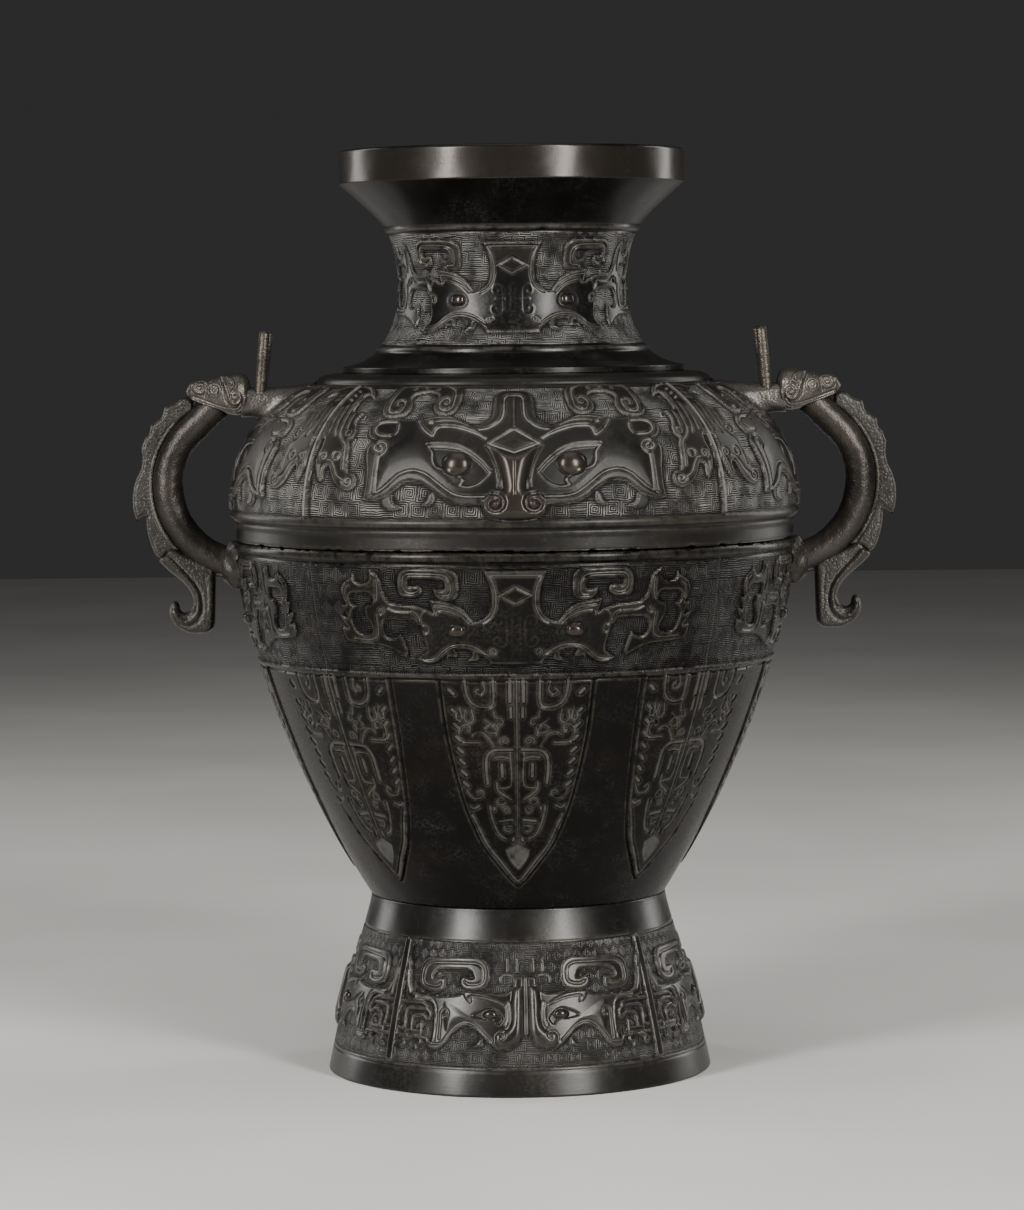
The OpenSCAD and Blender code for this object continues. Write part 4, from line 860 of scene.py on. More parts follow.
carve = Carving(NECK_HALF_MM, SLIM // 4, run_along(mask_run))
flat_mask(carve, 1.5, 0.86, (3.6, 2.6))
zs = outer[:, 1:2]
start = len(step_run) + len(flare_run) - 2
masks_at = slice(start, start + len(mask_run) - 1)
ring = rings_of([carve] * 2, masks_at, len(outer), SLIM)
calm = ease((zs - NECK_LOW_Z - 1) / 1.2) * ease((NECK_TOP_Z - 1 - zs) / 1.2)
high = ring["high"] * calm
high += bead(zs, NECK_TOP_Z + 1.4, *THIN_BEAD) + bead(zs, NECK_LOW_Z - 1.4, *THIN_BEAD)
high += scribed(zs, NECK_TOP_Z - 0.6) + scribed(zs, NECK_LOW_Z + 0.8)
stored = finish_masks(ring, calm)
stored["bright"] = np.maximum(ring["bright"], 0.55 * ease((zs - LIP_Z) / 0.5))
neck = turned_wall("neck_wall", neck_section, SLIM, NECK_START, high, stored, 37)

# %% Foot
STOUT = 1200
FOOT_HALF_MM = 65.19
base_run = even(part_of(foot_line, 0, FOOT_LOW_Z), 0.6)
mask_run = even(part_of(foot_line, FOOT_LOW_Z, FOOT_TOP_Z), CARVED_STEP)
collar_run = even(part_of(foot_line, FOOT_TOP_Z, BELLY_Z - SEAM), 0.7)
outer = np.concatenate([[(93.4, 0), (94.0, 0.2)], base_run[1:-1], mask_run[:-1], collar_run])
inside = even(offset_in(foot_line, WALL)[2:-4], 5)[::-1]
foot_section = np.concatenate([outer, [(68.4, BELLY_Z - SEAM)], inside, [(90.3, 0)]])
carve = Carving(FOOT_HALF_MM, STOUT // 8, run_along(mask_run))
foot_panel(carve)
zs = outer[:, 1:2]
masks_at = slice(len(base_run), len(base_run) + len(mask_run) - 1)
ring = rings_of([carve] * 4, masks_at, len(outer), STOUT)
high = ring["high"]
high += scribed(zs, FOOT_LOW_Z) + scribed(zs, FOOT_LOW_Z - 1.8, 0.7, 0.4) + scribed(zs, FOOT_TOP_Z)
stored = finish_masks(ring)
foot = turned_wall("foot_wall", foot_section, STOUT, PANEL_START + FOOT_TURN, high, stored, 53)

# %% Hang the walls from the root and hide the solids they stand for
walls = {"shoulder": shoulder, "belly": belly, "neck": neck, "foot": foot}
for node, piece in walls.items():
    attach(piece, "root")
    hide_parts(node)
print("walls in place:", sorted(walls))

# %% [markdown]
# ## Plates with rounded edges
# The crest and tail of each handle, and the upright ears, are flat castings with soft edges. We
# fill an outline with an even net of triangles, puff it up from the edge, and add the same carving
# tools as on the walls. Front and back share the rim. At a sharp corner a triangle may have all three
# points on the rim, and there front and back lie on each other. The right-hand piece is made first
# and its mirror image goes on the left.

# %% A puffed plate
GRID_MM, RIM_STEP = 0.35, 0.6


def read_off(c, grid, points):
    """The value of a grid at scattered points, blended between its four neighbours."""
    fx = np.clip((points[:, 0] - c.xs[0]) / (c.xs[1] - c.xs[0]), 0, len(c.xs) - 1.001)
    fs = np.clip((points[:, 1] - c.ss[0]) / (c.ss[1] - c.ss[0]), 0, len(c.ss) - 1.001)
    i, j = fs.astype(int), fx.astype(int)
    a, b = fs - i, fx - j
    return ((1 - a) * ((1 - b) * grid[i, j] + b * grid[i, j + 1])
            + a * ((1 - b) * grid[i + 1, j] + b * grid[i + 1, j + 1]))


def triangle_net(c, deep, rim, low, top, net):
    """Fills a rim with even triangles; gives the points, the faces and which points lie on the rim."""
    across, up = np.meshgrid(np.arange(low[0], top[0], net), np.arange(low[1], top[1], net * 0.87))
    across[1::2] += net / 2
    filling = np.stack([across.ravel(), up.ravel()], axis=1)
    filling = filling[read_off(c, deep, filling) > 0.45]
    points = [Vector(p) for p in np.concatenate([rim, filling])]
    count = len(rim)
    loop = [(k, (k + 1) % count) for k in range(count)]
    flat, _, faces, origin, _, _ = delaunay_2d_cdt(points, loop, [], 1, 1e-5)
    flat = np.array([(p.x, p.y) for p in flat])
    return flat, faces, np.array([any(k < count for k in o) for o in origin])


def plate(name, outline, half, edge, carve, net=0.8, place=None):
    """A plate from an outline in millimetres; half is its half thickness."""
    line = curved(outline, closed=True)
    low, top = line.min(axis=0) - 1, line.max(axis=0) + 1
    steps = ((top - low) / GRID_MM).astype(int) + 1
    c = Carving(top[0] - low[0], steps[0], np.linspace(low[1], top[1], steps[1]), low[0])
    deep = c.depth_in(line, (slice(None), slice(None)))
    carve(c)
    flat, faces, on_rim = triangle_net(c, deep, even(line, RIM_STEP)[:-1], low, top, net)
    d = np.where(on_rim, 0, np.clip(read_off(c, deep, flat), 0, None))
    puff = half * np.sqrt(1 - (1 - np.clip(d / edge, 0, 1)) ** 2)
    puff = np.where(on_rim, 0, np.maximum(puff + read_off(c, c.high, flat) * np.clip(d / 1.2, 0, 1), 0.1))
    back = np.where(on_rim, np.arange(len(flat)), len(flat) + np.cumsum(~on_rim) - 1)
    xyz = np.concatenate([np.stack([flat[:, 0], -puff, flat[:, 1]], 1),
                          np.stack([flat[:, 0], puff, flat[:, 1]], 1)[~on_rim]])
    both = [tuple(t) for t in faces] + [tuple(int(back[k]) for k in reversed(t)) for t in faces]
    mesh = bpy.data.meshes.new(name)
    mesh.from_pydata(((place(xyz) if place else xyz) * MM).tolist(), [], both)
    share = (flat - low) / (top - low)
    uv = np.array([((share[k][0] + side) / 2.05, share[k][1]) for side, turn in ((0, 1), (1.05, -1))
                   for t in faces for k in t[::turn]])
    mesh.uv_layers.new(name="OFBake").data.foreach_set("uv", uv.astype(np.float32).ravel())
    masks = {"line_dust_and_sheen": read_off(c, c.pale_dust_and_sheen, flat), "wear": np.clip(1 - d / 1.6, 0, 1) * 0.35}
    for key, values in masks.items():
        both_values = np.concatenate([values, values[~on_rim]]).astype(np.float32)
        mesh.attributes.new(key, "FLOAT", "POINT").data.foreach_set("value", both_values)
    mesh.polygons.foreach_set("use_smooth", np.ones(len(mesh.polygons), bool))
    mesh.update()
    piece = bpy.data.objects.new(name, mesh)
    bpy.context.collection.objects.link(piece)
    return piece


handle_pieces = {}


def pair(piece, node, finish):
    """Hangs the right-hand piece and a mirrored left copy from the root, hides the node's solids and files
    both under their finish.
    """
    other = bpy.data.objects.new(piece.name.replace("right", "left"), piece.data.copy())
    bpy.context.collection.objects.link(other)
    points = np.empty(3 * len(other.data.vertices), np.float32)
    other.data.vertices.foreach_get("co", points)
    points[0::3] *= -1
    other.data.vertices.foreach_set("co", points)
    other.data.flip_normals()
    other.data.update()
    for one, side in ((piece, "right"), (other, "left")):
        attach(one, "root")
        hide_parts(f"{side}_{node}")
        handle_pieces.setdefault(finish, []).append(one)
    print(node, len(piece.data.vertices), "points each side")


print("ready to make plates in pairs")

# %% [markdown]
# ## Handles: bar, crest and tail
# The bar is a round rod bent into a C. A toothed crest runs along its outside like a mane, and
# below the lower bend the tail hangs down and hooks outwards, with a raised S-shaped band on it.

# %% Bar
def strung(rings):
    """Caps a stack of rings, with a ring at each end that is shrunk to a point."""
    ends = [np.repeat(end.mean(axis=0, keepdims=True), end.shape[0], 0) for end in (rings[0], rings[-1])]
    return np.concatenate([[ends[0]], rings, [ends[1]]])


BAR_R = 7.4
LOW_C, LOW_BEND = (129.96, 288.5), 40.0
UP_C, UP_BEND = (134.96, 288.5), 35.0
ROOT_Z = 248.5
BAR_STEP = 0.9


def on_bar(angle, out):
    """A point over the bar's middle line; angles below zero lie on the lower bend."""
    centre, bend_r = (UP_C, UP_BEND) if angle > 0 else (LOW_C, LOW_BEND)
    a = math.radians(angle)
    return (centre[0] + (bend_r + out) * math.cos(a), centre[1] + (bend_r + out) * math.sin(a))


path = [(131.0, ROOT_Z)] + [on_bar(a, 0) for a in np.arange(-90, 46, 3)]
path += [(path[-1][0] - k * 0.7071, path[-1][1] + k * 0.7071) for k in (5, 10, 15, 20)]
path = even(curved(path), BAR_STEP)
along = np.gradient(path, axis=0)
along /= np.hypot(*along.T)[:, None]
turn = np.linspace(0, 2 * math.pi, 64, endpoint=False)
run = np.arange(len(path))[:, None] * BAR_STEP
thick = BAR_R * (1 + 0.012 * np.sin(run * 0.11 + 1) + 0.01 * np.sin(run * 0.31 + 3 * turn)
                 + 0.006 * np.sin(run * 0.9 + 5 * turn))
rings = np.stack([path[:, :1] + along[:, 1:] * thick * np.cos(turn), thick * np.sin(turn),
                  path[:, 1:] - along[:, :1] * thick * np.cos(turn)], axis=-1)
pair(closed_rows("right_bar", strung(rings), wrap_rows=False), "handle_bar", "worn")

# %% Crest and tail
def crest_lines(c):
    c.groove([on_bar(a, BAR_R + 1.2) for a in range(-40, 46, 6)], 1.2, 0.8)


inner_edge = [on_bar(a, BAR_R - 0.6) for a in range(58, -46, -6)]
teeth = [(169.6, 255.2), (173, 252.2), (176.4, 254), (178.8, 259.5), (180.4, 266), (180.9, 273.5),
         (180.9, 273.5), (183, 272.6), (185.4, 270.6), (185.4, 270.6), (187, 276), (187.2, 283.5),
         (185.8, 290), (183, 296), (182.2, 301), (182.6, 306.6), (182.6, 306.6), (180.6, 311.4),
         (178.6, 313.6), (178, 317.6), (178, 317.6), (174.4, 320), (172.2, 322), (171, 326.4), (171, 326.4),
         (168, 327.6), (165.4, 328.4), (162.6, 330.6), (160, 331), (157, 330)]
crest = inner_edge[:1] + inner_edge + teeth
pair(plate("right_crest", crest, 3.0, 2.0, crest_lines), "handle_crest", "rough")


def tail_lines(c):
    band = [(171, 252.6), (166.6, 247.8), (161.4, 242.4), (157.4, 237), (155.7, 231), (156.6, 224.6),
            (160.6, 221), (165, 222), (167.4, 226)]
    c.thread(band, 2.4, 0.9)
    c.groove([(169, 254), (164, 248.4), (158.8, 242.8), (154.9, 237), (153.2, 230.4), (154.4, 223),
              (159.6, 218.6), (165.4, 219.8)], 0.9, 0.6)
    c.groove([(152, 243), (151, 234), (151.4, 226)], 0.8, 0.3)


tail = [(146.6, 250.6), (147, 243), (147.3, 232), (147.6, 222), (148.4, 217.6), (151.5, 215.2),
        (156, 214.9), (161, 215.4), (167.3, 219.2), (170.2, 225), (169.2, 229.6), (167, 231.2),
        (165.2, 229.4), (164.6, 226.8), (162.4, 225.4), (159.5, 227), (158.2, 231), (160, 236.4),
        (164.6, 241.5), (170, 246), (175, 251), (175, 251), (172, 254.6), (168.6, 257.6), (162, 254.5),
        (155, 251.8), (149, 250.6)]
pair(plate("right_tail", tail, 4.0, 2.6, tail_lines), "handle_tail", "rough")

# %% [markdown]
# ## Handles: dragon head, lug, ears and root
# The head is a loft: rounded sections along its length, tall at the cheeks and low at the snout,
# with a scrolled nose, a ringed eye and a curled cheek carved on both sides. Behind it the lug
# spreads where it meets the shoulder, and two flat ears stand up from it. At the lower root a
# lumpy ring of solder holds the bar to the belly.

# %% Head
def squared(wave, power):
    """Squares off a wave that swings from -1 to 1; a power of 1 leaves it round."""
    return np.sign(wave) * np.abs(wave) ** power


def head_lines(c):
    c.thread([(157.4, 329.8), (152, 327.6), (146, 325.6), (140, 323.8), (134.6, 323.2), (131.4, 326),
              (130.2, 331)], 1.6, 1.0)
    c.groove([(156.6, 331.6), (151, 329.6), (145, 327.4), (139.6, 325.8), (135, 325.6), (133, 328)],
             0.9, 0.6)
    c.dome(152.8, 336.2, 4.4, 3.8, 1.6)
    c.groove(spiral(152.8, 336.2, 3.3, 0.8, 1.4, 200, -1), 0.9, 0.9, smooth=False)
    c.dome(145.8, 334.6, 3.6, 3.6, 1.4)
    c.groove(spiral(145.8, 334.6, 2.9, 2.9, 1.0, 0), 0.8, 0.7, smooth=False)
    c.groove(spiral(145.8, 334.6, 1.2, 1.2, 1.0, 0), 0.6, 0.6, smooth=False)
    c.thread([(141.8, 341), (140.6, 337.6), (139.2, 333.4), (138.4, 330.2), (136.6, 328), (133.8, 328.4),
              (132.8, 330.8), (134, 333), (136, 333.2), (136.8, 331.4), (135.6, 330.4)], 1.3, 0.9)
    c.thread([(143, 341.4), (140, 341.2), (137.4, 339.6), (136, 337.4), (137.4, 335.8), (139, 336.6)],
             1.3, 0.8)
    c.groove([(143.2, 339), (141.4, 334), (140.6, 330), (138.4, 326.8)], 0.8, 0.6)
    c.groove([(150.6, 331.6), (150.2, 335.4), (151, 337.6)], 0.8, 0.5)


station = np.linspace(129.0, 160.0, 150)


def along_head(points):
    """A line of the head given point by point, read at every station and softened a little."""
    drawn = np.interp(station, *np.array(points).T)
    return np.convolve(np.pad(drawn, 2, mode="edge"), np.ones(5) / 5, "valid")


tops = along_head([(129, 336), (129.6, 339.4), (131, 341.6), (134, 342.8), (140, 342.4), (146, 341.2),
                   (149, 339.6), (150.8, 338.8), (152.5, 339.3), (155, 339.8), (157.5, 338.6),
                   (159.2, 336.4), (160, 334.6)])
bottoms = along_head([(129, 330), (129.6, 327), (131, 324.2), (133, 322.4), (135.5, 322), (140, 322.8),
                      (146, 324.6), (152, 326.8), (156, 328.4), (158.5, 330.4), (160, 333)])
halves = along_head([(129, 7), (129.6, 9.6), (131, 11.2), (134, 12.2), (140, 12.3), (146, 11), (150, 9),
                     (154, 7.9), (158, 6.6), (159.4, 5), (160, 3)])
turn = np.linspace(0, 2 * math.pi, 160, endpoint=False)
upright, sideways = squared(np.cos(turn), 0.75), squared(np.sin(turn), 0.75)
x = np.repeat(station[:, None], len(turn), 1)
z = ((tops + bottoms) / 2)[:, None] - ((tops - bottoms) / 2)[:, None] * upright
y = halves[:, None] * sideways
c = Carving(36, 120, np.linspace(316, 348, 110), 126)
head_lines(c)
spots = np.stack([x.ravel(), z.ravel()], axis=1)
lifted = read_off(c, c.high, spots).reshape(z.shape)
y = y + np.sign(y) * lifted * ease(np.abs(sideways) * 1.6)
rings = np.stack([x, y, z], axis=-1)
masks = {"line_dust_and_sheen": read_off(c, c.pale_dust_and_sheen, spots).reshape(z.shape),
         "wear": np.clip(lifted - blurred(lifted, 4), 0, 0.2) * 5}
masks = {key: strung(values[:, :, None])[:, :, 0] for key, values in masks.items()}
head = closed_rows("right_head", strung(rings), attributes=masks, wrap_rows=False)
pair(head, "handle_head", "beast")

# %% Lug and root collar, both ending inside the wall
def wall_at(y, z, line):
    """How far out the wall stands at a point seen from the handle's side."""
    return np.sqrt(np.interp(z, line[:, 1], line[:, 0]) ** 2 - y * y)


def spread(name, middle_z, sections, line, reach, lumps, seed):
    """A stack of rings that starts inside the wall.

    Each section gives its share of the way out, half width, half height and squareness.
    """
    rng = np.random.default_rng(seed)
    turn = np.linspace(0, 2 * math.pi, 72, endpoint=False)
    share, wide, tall, power = (np.array(v)[:, None] for v in zip(*sections))
    waves = sum(np.sin(k * turn + rng.uniform(0, 6)) * np.sin(5 * share + rng.uniform(0, 6))
                for k in (2, 3, 5, 8))
    grow = 1 + lumps * waves * np.sin(share * math.pi)
    z = middle_z - tall * grow * squared(np.cos(turn), power)
    y = wide * grow * squared(np.sin(turn), power)
    start = wall_at(y, z, line) - 1.8
    x = start + (reach - start) * share
    return closed_rows(name, strung(np.stack([x, y, z], axis=-1)), wrap_rows=False)


shares = np.linspace(0, 1, 24)
lug_sections = [(k, 10.4 + 4.5 * (1 - k) ** 4, 7.3 + 2.6 * (1 - k) ** 4, 0.62) for k in shares]
lug = spread("right_lug", 328.3, lug_sections, shoulder_line, 133.0, 0.012, 5)
pair(lug, "upper_lug", "beast")
collar_sections = [(k, 7.3 + 5.4 * (1 - k ** 1.6), 7.3 + 5.4 * (1 - k ** 1.6), 1.0) for k in shares]
collar = spread("right_collar", ROOT_Z, collar_sections, belly_line, 143.4, 0.05, 9)
pair(collar, "root_collar", "solder")

# %% Ears
def ear_lines(c):
    c.groove([(0, 2), (0, 25)], 1.0, 0.4, line_dust_and_sheen=False)


ear = [(-4.2, -4), (-4.2, -4), (4.2, -4), (4.2, -4), (4.3, 6), (4.6, 16), (4.4, 23), (3.6, 26.6), (2, 28),
       (-2, 28), (-3.6, 26.6), (-4.4, 23), (-4.6, 16), (-4.3, 6)]
for word, aside, lean in (("front", -6.0, math.radians(5)), ("rear", 6.0, math.radians(7.5))):
    def stand(p, aside=aside, lean=lean):
        """Turns a flat ear to face sideways and leans it towards the neck."""
        return np.stack([123.5 - p[:, 1] * math.cos(lean) - p[:, 2] * math.sin(lean), aside + p[:, 0],
                         335.4 + p[:, 2] * math.cos(lean) - p[:, 1] * math.sin(lean)], axis=1)

    leaf = plate(f"right_{word}_ear", ear, 2.4, 0.7, ear_lines, net=0.6, place=stand)
    pair(leaf, f"{word}_ear", "worn")

# %% [markdown]
# ## Finishes as expressions
# A finish is a graph of nodes, and long graphs are hard to read as wiring. We wrap a socket in a
# small class that can add, subtract, multiply and divide, so that a mask can be written as a sum, and
# let one method add every other kind of node.

# %% A socket that does sums
class Value:
    """One output of a finish's graph; sums on it add Math nodes."""

    def __init__(self, finish, socket):
        self.finish, self.socket = finish, socket

    def math(self, operation, *others, clamp=False):
        return self.finish.node("ShaderNodeMath", {"operation": operation, "use_clamp": clamp},
                                dict(enumerate((self,) + others)))

    def __add__(self, other):
        return self.math("ADD", other)

    def __sub__(self, other):
        return self.math("SUBTRACT", other)

    def __mul__(self, other):
        return self.math("MULTIPLY", other)

    def __truediv__(self, other):
        return self.math("DIVIDE", other)

    def __rsub__(self, other):
        return (self * -1.0).math("ADD", other)

    def __rtruediv__(self, other):
        return self.math("POWER", -1.0) * other

    __radd__ = __add__
    __rmul__ = __mul__

    def clamped(self):
        return self.math("ADD", 0.0, clamp=True)

    def between(self, low, high):
        """0 below low, 1 above high, and eased between them."""
        return self.finish.node("ShaderNodeMapRange", {"interpolation_type": "SMOOTHSTEP"},
                                {"Value": self, "From Min": low, "From Max": high})

    def __getitem__(self, name):
        return Value(self.finish, self.socket.node.outputs[name])


class Finish:
    """A material and its graph."""

    def __init__(self, name):
        self.material = bpy.data.materials.new(name)
        self.material.use_nodes = True
        self.tree = self.material.node_tree
        self.shader = self.tree.nodes["Principled BSDF"]
        self.place = self.node("ShaderNodeTexCoord", {}, {})["Object"]

    def feed(self, node, key, value):
        """Links a value to a socket, or types a number or colour into it."""
        if isinstance(value, Value):
            self.tree.links.new(value.socket, node.inputs[key])
        else:
            node.inputs[key].default_value = value

    def node(self, kind, settings, sockets):
        """Adds a node, sets it up, feeds its sockets and gives its first output in use."""
        made = self.tree.nodes.new(kind)
        for key, value in settings.items():
            setattr(made, key, value)
        for key, value in sockets.items():
            self.feed(made, key, value)
        return Value(self, next(o for o in made.outputs if o.enabled))

    def stored(self, name):
        return self.node("ShaderNodeAttribute", {"attribute_name": name}, {})["Fac"]

    def noise(self, scale, detail=4.0, rough=0.6, place=None):
        return self.node("ShaderNodeTexNoise", {}, {"Vector": place or self.place, "Scale": scale,
                                                    "Detail": detail, "Roughness": rough})

    def mix(self, share, a, b):
        """Goes from colour a to colour b by a share."""
        a, b = (v if isinstance(v, Value) else (*v, 1) for v in (a, b))
        made = self.node("ShaderNodeMix", {"data_type": "RGBA"}, {0: share, 6: a, 7: b})
        return Value(self, made.socket.node.outputs[2])

    def bumped(self, height, strength, distance, under=None):
        sockets = {"Strength": strength, "Distance": distance, "Height": height}
        if under is not None:
            sockets["Normal"] = under
        return self.node("ShaderNodeBump", {}, sockets)

    def finish(self, **sockets):
        """Feeds the shader; an underscore stands for the space in a socket's name."""
        for key, value in sockets.items():
            self.feed(self.shader, key.replace("_", " "), value)
        return self.material


print("ready to write finishes as sums")

# %% [markdown]
# ## Dark cast bronze
# The walls are almost black with a brown cast. Raised flats are smooth and reflect a dim room,
# rubbed edges show warm metal, and the ground between the masks is covered by the fine squared
# spirals called thunder pattern, which hold pale dust. The spirals are too fine for the mesh, so a
# bump draws them: cells laid like bricks, and in each a squared curl made from the larger of two
# distances plus the angle round the cell. For the drawn lines each point holds how near the nearest
# line is, and the finish turns that into an edge much sharper than the net of points. The pale of
# these lines is dust in the grooves and a painted highlight along raised edges. Beside the motifs
# the ground's dust is taken away where the wall lies low: painted shade.

# %% Thunder pattern
FULL_TURN = 6.2832


def thunder(f, cells, climb_mm, rings):
    """Squared curls in a brick of cells, a few of them only barred.

    Cells is how many go round the wall, climb_mm how tall each is, and rings how tightly it winds.
    """
    uv = f.node("ShaderNodeUVMap", {"uv_map": "OFBake"}, {})
    waver = f.noise(150.0, 2.0) * 0.2 - 0.1
    up = f.stored("climb") / climb_mm + waver
    row = up.math("FLOOR")
    across = f.node("ShaderNodeSeparateXYZ", {}, {0: uv})["X"] * float(cells) + row * 0.5 + waver
    a, b = across.math("FRACT") - 0.5, up.math("FRACT") - 0.5
    cell = f.node("ShaderNodeCombineXYZ", {}, {0: across.math("FLOOR"), 1: row})
    curled = f.node("ShaderNodeTexWhiteNoise", {}, {"Vector": cell}).between(0.2, 0.22)
    ring = (a.math("ABSOLUTE") * curled).math("MAXIMUM", b.math("ABSOLUTE"))
    turn = a.math("ARCTAN2", b) / FULL_TURN * curled
    return ((ring * rings + turn) * FULL_TURN).math("SINE") * 0.5 + 0.5


print("thunder pattern ready")

# %% Wall finish
LINE_EDGE = 0.9, 1.03
DEEP_BROWN, WARM_BROWN = (0.0062, 0.0053, 0.0043), (0.017, 0.0150, 0.0127)
RED_BROWN, POLISHED = (0.017, 0.0085, 0.006), (0.042, 0.0355, 0.030)
# The pale colour is laid on dust in the ground and on the pale lines, which are dust in grooves and painted
# highlights along raised edges.
WALL_DUST_AND_SHEEN, WALL_RUBBED = (0.24, 0.236, 0.225), (0.14, 0.128, 0.108)


def wall_finish(name, cells, climb_mm, rings, red, dusting, drawn, tone, shine, satin):
    """Almost black bronze with thunder pattern on its ground.

    Red is the share of red-brown patches, dusting pales the ground between the motifs, drawn the
    lines cut into them, whose pale is dust in grooves and a painted highlight along raised edges, tone
    lightens the metal, shine its mirror and satin the blur of that mirror.
    """
    f = Finish(name)
    fine, near, bright = f.stored("fine"), f.stored("line_dust_and_sheen"), f.stored("bright")
    wear, hollow = f.stored("wear"), f.stored("hollow")
    cloud, patch = f.noise(9.0, 5.0, 0.62), f.noise(70.0, 4.0, 0.6)
    grain, speck = f.noise(190.0, 4.0, 0.65), f.noise(700.0, 3.0, 0.6)
    curls = thunder(f, cells, climb_mm, rings)
    # The pale lines: dust in grooves, and painted highlights along raised edges.
    line = near.between(*LINE_EDGE)
    low, top = ([v * tone for v in colour] for colour in (DEEP_BROWN, WARM_BROWN))
    metal = f.mix(cloud.between(0.35, 0.68), low, top)
    rusty = (f.noise(24.0, 5.0, 0.7).between(0.5, 0.72) * red).clamped()
    metal = f.mix(rusty, metal, RED_BROWN)
    metal = f.mix((bright * 0.9).clamped(), metal, POLISHED)
    gathered = 0.12 + patch.between(0.34, 0.62) * 0.88
    # Dust on the ground is cut back where the wall lies low beside the motifs: painted shade.
    ground = fine * curls.between(0.35, 0.95) * gathered * (1 - hollow * 0.9)
    film = (1 - bright) * f.noise(42.0, 6.0, 0.7).between(0.42, 0.72) * speck.between(0.4, 0.65) * 0.07
    # Share of pale colour: ground dust, a thin dust film, and the pale lines, which are partly painted
    # highlights.
    dust_and_sheen_share = ((ground * dusting + line * drawn + film) * grain.between(0.15, 0.6)).clamped()
    colour = f.mix(dust_and_sheen_share, metal, WALL_DUST_AND_SHEEN)
    rubbed = (wear * (1 - fine * 0.7) * (1 - bright * 0.8) * 0.26 * grain.between(0.3, 0.6)).clamped()
    colour = f.mix(rubbed, colour, WALL_RUBBED)
    rough = (satin + grain * 0.08 + dust_and_sheen_share * 0.3 + cloud * 0.06 + fine * 0.1 - bright * 0.1).clamped()
    drawn_out = f.node("ShaderNodeVectorMath", {"operation": "MULTIPLY"},
                       {0: f.place, 1: (40.0, 40.0, 1100.0)})
    scratch = f.noise(1.0, 3.0, 0.6, drawn_out)
    relief = f.bumped(curls * fine, 0.7, 0.0006)
    relief = f.bumped(grain * 0.5 + speck * 0.3 + scratch * 0.5, 0.2, 0.0003, relief)
    metallic = (0.3 + bright * 0.4 - dust_and_sheen_share * 0.3).clamped()
    return f.finish(Base_Color=colour, Roughness=rough, Metallic=metallic, Normal=relief,
                    Specular_IOR_Level=shine)


wall_finishes = {
    "shoulder": wall_finish("shoulder_bronze", cells=104, climb_mm=7.8, rings=8.0, red=0.2, dusting=0.9,
                            drawn=0.5, tone=0.65, shine=0.3, satin=0.32),
    # The belly faces down, away from the lights: its far darker tone and thin dust are painted shade,
    # against the lighter shoulder and foot, which face up.
    "belly": wall_finish("belly_bronze", cells=104, climb_mm=7.8, rings=8.0, red=0.3, dusting=0.17,
                         drawn=0.24, tone=0.26, shine=0.14, satin=0.2),
    "neck": wall_finish("neck_bronze", cells=60, climb_mm=7.2, rings=8.0, red=0.15, dusting=0.85,
                        drawn=0.25, tone=0.28, shine=0.34, satin=0.22),
    "foot": wall_finish("foot_bronze", cells=96, climb_mm=5.4, rings=7.0, red=0.15, dusting=0.4,
                        drawn=0.25, tone=0.65, shine=0.5, satin=0.24),
}
for key, piece in walls.items():
    piece.data.materials.append(wall_finishes[key])
print("wall finishes:", sorted(wall_finishes))

# %% [markdown]
# ## Worn bronze of the handles
# The handles are lighter and rougher than the walls, and their surface is eaten by small pits. A
# cell pattern with soft borders gives the pits, one in the middle of each cell. A noise breaks them
# up, and dust settles in them. One function makes all four finishes of the handles, from two browns
# and how rough, pitted and dull each one is. The floor plate takes one of them too.

# %% Handle finishes
HANDLE_DUST, HANDLE_RUBBED = (0.150, 0.142, 0.128), (0.22, 0.185, 0.14)


def metal_finish(name, dark, light, rough_low, pits, dull):
    """Bronze for the handles and floor plate.

    Rough_low is the roughness of clean metal, pits how deeply it is eaten, dull the dust in the pits.
    """
    f = Finish(name)
    pale_dust_and_sheen, wear = f.stored("line_dust_and_sheen").between(*LINE_EDGE), f.stored("wear")
    cloud, grain = f.noise(16.0, 5.0, 0.62), f.noise(150.0, 5.0, 0.7)
    cells = f.node("ShaderNodeTexVoronoi", {"feature": "SMOOTH_F1"},
                   {"Vector": f.place, "Scale": 760.0, "Smoothness": 0.6})
    sound = (cells.between(0.1, 0.55) * grain.between(0.3, 0.6)).clamped()
    colour = f.mix(cloud.between(0.33, 0.68), dark, light)
    dust_and_sheen_share = ((pale_dust_and_sheen * 0.7 + (1 - sound) * dull) * grain.between(0.25, 0.7)).clamped()
    colour = f.mix(dust_and_sheen_share, colour, HANDLE_DUST)
    rubbed = (wear * grain.between(0.4, 0.65) * 0.6).clamped()
    colour = f.mix(rubbed, colour, HANDLE_RUBBED)
    rough = (rough_low + grain * 0.14 + dust_and_sheen_share * 0.22 - rubbed * 0.06).clamped()
    relief = f.bumped(grain, 0.3, 0.0004)
    relief = f.bumped(sound, pits, 0.0005, relief)
    return f.finish(Base_Color=colour, Roughness=rough, Metallic=(0.7 - dust_and_sheen_share * 0.4).clamped(),
                    Normal=relief)


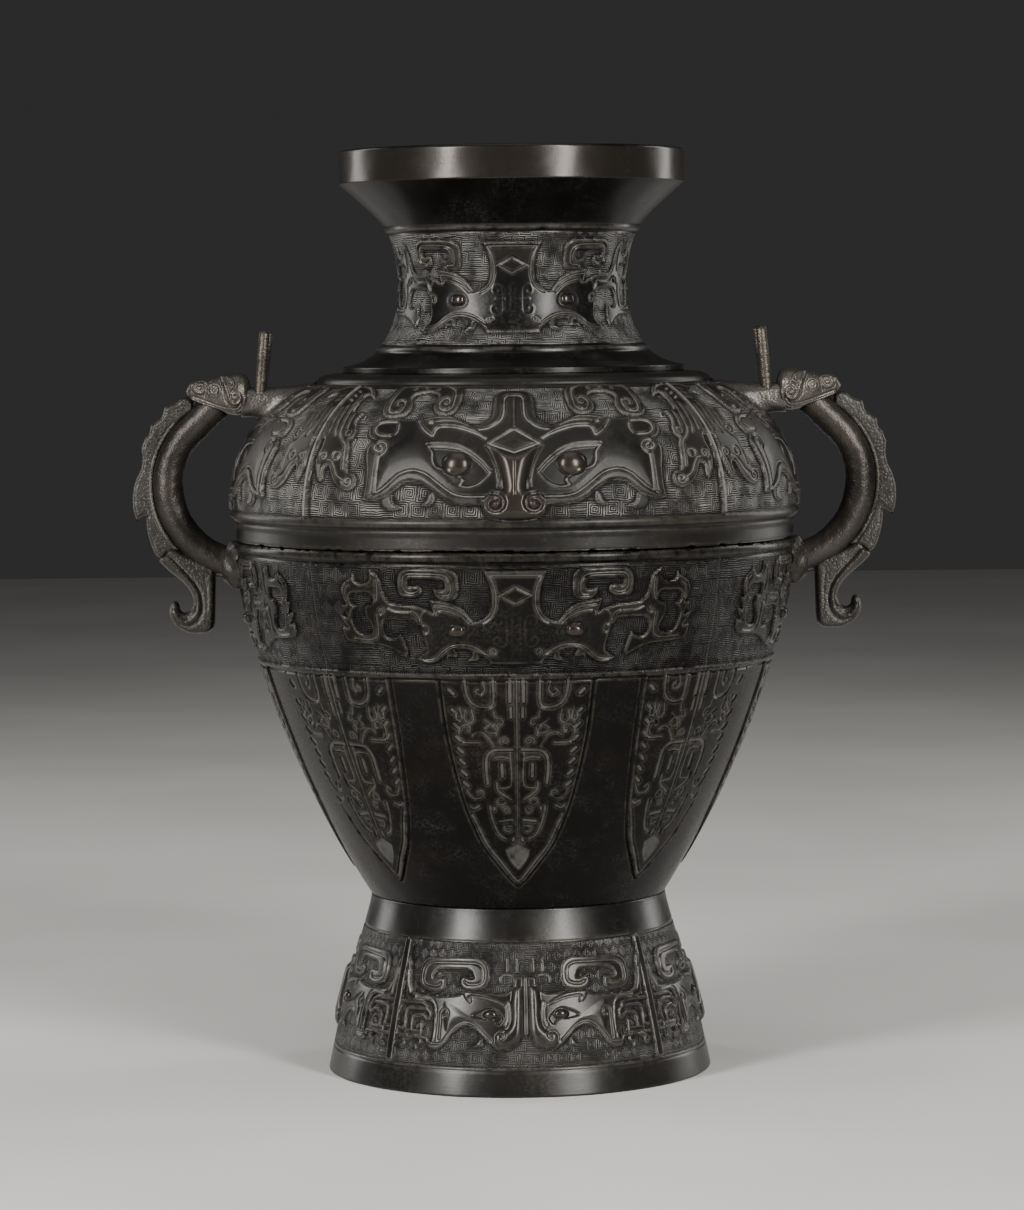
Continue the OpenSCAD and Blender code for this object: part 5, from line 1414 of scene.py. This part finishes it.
hand_finishes = {
    "worn": metal_finish("worn_bronze", (0.019, 0.0168, 0.0145), (0.056, 0.0485, 0.041),
                         rough_low=0.33, pits=0.2, dull=0.06),
    "beast": metal_finish("beast_bronze", (0.030, 0.027, 0.024), (0.070, 0.064, 0.056),
                          rough_low=0.28, pits=0.2, dull=0.25),
    "rough": metal_finish("rough_bronze", (0.018, 0.0165, 0.0145), (0.045, 0.042, 0.0375),
                          rough_low=0.34, pits=0.35, dull=0.2),
    "solder": metal_finish("solder", (0.018, 0.016, 0.014), (0.046, 0.042, 0.037),
                           rough_low=0.34, pits=0.3, dull=0.1),
}
for key, pieces in handle_pieces.items():
    for piece in pieces:
        piece.data.materials.append(hand_finishes[key])
floor_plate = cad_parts["base_plate"]
floor_plate.data.materials.clear()
floor_plate.data.materials.append(hand_finishes["rough"])
print("handle finishes:", sorted(hand_finishes))

# %% [markdown]
# ## Light, floor and camera
# A long lens at about two metres sees the jar from slightly above its shoulder. Two tall soft
# boxes stand left and right of it, which gives the paired bright streaks on the rim and the beads.
# Two weaker ones behind the jar draw the edges of the handles, and a weak overhead panel lights the
# ledges. The floor is plain and pale.

# %% Camera
camera = bpy.data.objects.new("camera", bpy.data.cameras.new("camera"))
bpy.context.collection.objects.link(camera)
camera.data.sensor_fit = "HORIZONTAL"
camera.data.sensor_width = 36.0
camera.data.lens = 149.34
camera.data.clip_end = 20.0
camera.location = (-0.0017, -2.083, 0.3691)
camera.rotation_euler = (math.radians(90 - 3.889), 0.0, 0.0)
camera.rotation_euler.rotate_axis("Z", math.radians(-0.565))
bpy.context.scene.camera = camera
print("camera at", [round(v, 3) for v in camera.location])

# %% Floor and lights
AIM = Vector((0, 0, 0.26))
floor_mesh = bpy.data.meshes.new("floor")
floor_mesh.from_pydata([(-4, -4, 0), (4, -4, 0), (4, 4, 0), (-4, 4, 0)], [], [(0, 1, 2, 3)])
floor = bpy.data.objects.new("floor", floor_mesh)
bpy.context.collection.objects.link(floor)
f = Finish("pale_floor")
tone = f.mix(f.noise(3.0, 2.0).between(0.3, 0.7), (0.60, 0.59, 0.575), (0.66, 0.65, 0.635))
floor_mesh.materials.append(f.finish(Base_Color=tone, Roughness=0.55))


def soft_box(name, azimuth, distance, height, size, power):
    """A rectangular light that looks at the jar's waist; azimuth 0 is in front."""
    data = bpy.data.lights.new(name, "AREA")
    data.shape = "RECTANGLE"
    data.size, data.size_y = size
    data.energy = power
    data.color = (1.0, 0.98, 0.95)
    lamp = bpy.data.objects.new(name, data)
    a = math.radians(azimuth)
    lamp.location = (distance * math.sin(a), -distance * math.cos(a), height)
    lamp.rotation_euler = (AIM - lamp.location).to_track_quat("-Z", "Y").to_euler()
    bpy.context.collection.objects.link(lamp)


soft_box("left_box", -42, 1.7, 0.85, (0.26, 1.1), 40)
soft_box("right_box", 34, 1.7, 0.85, (0.24, 1.1), 38)
soft_box("left_rim", -120, 1.6, 0.7, (0.4, 1.3), 10)
soft_box("right_rim", 120, 1.6, 0.7, (0.4, 1.3), 10)
soft_box("top_panel", 0, 0.2, 2.0, (1.6, 1.6), 10)
world = bpy.data.worlds.new("studio")
bpy.context.scene.world = world
world.use_nodes = True
world.node_tree.nodes["Background"].inputs["Color"].default_value = (0.5, 0.5, 0.5, 1)
world.node_tree.nodes["Background"].inputs["Strength"].default_value = 0.06
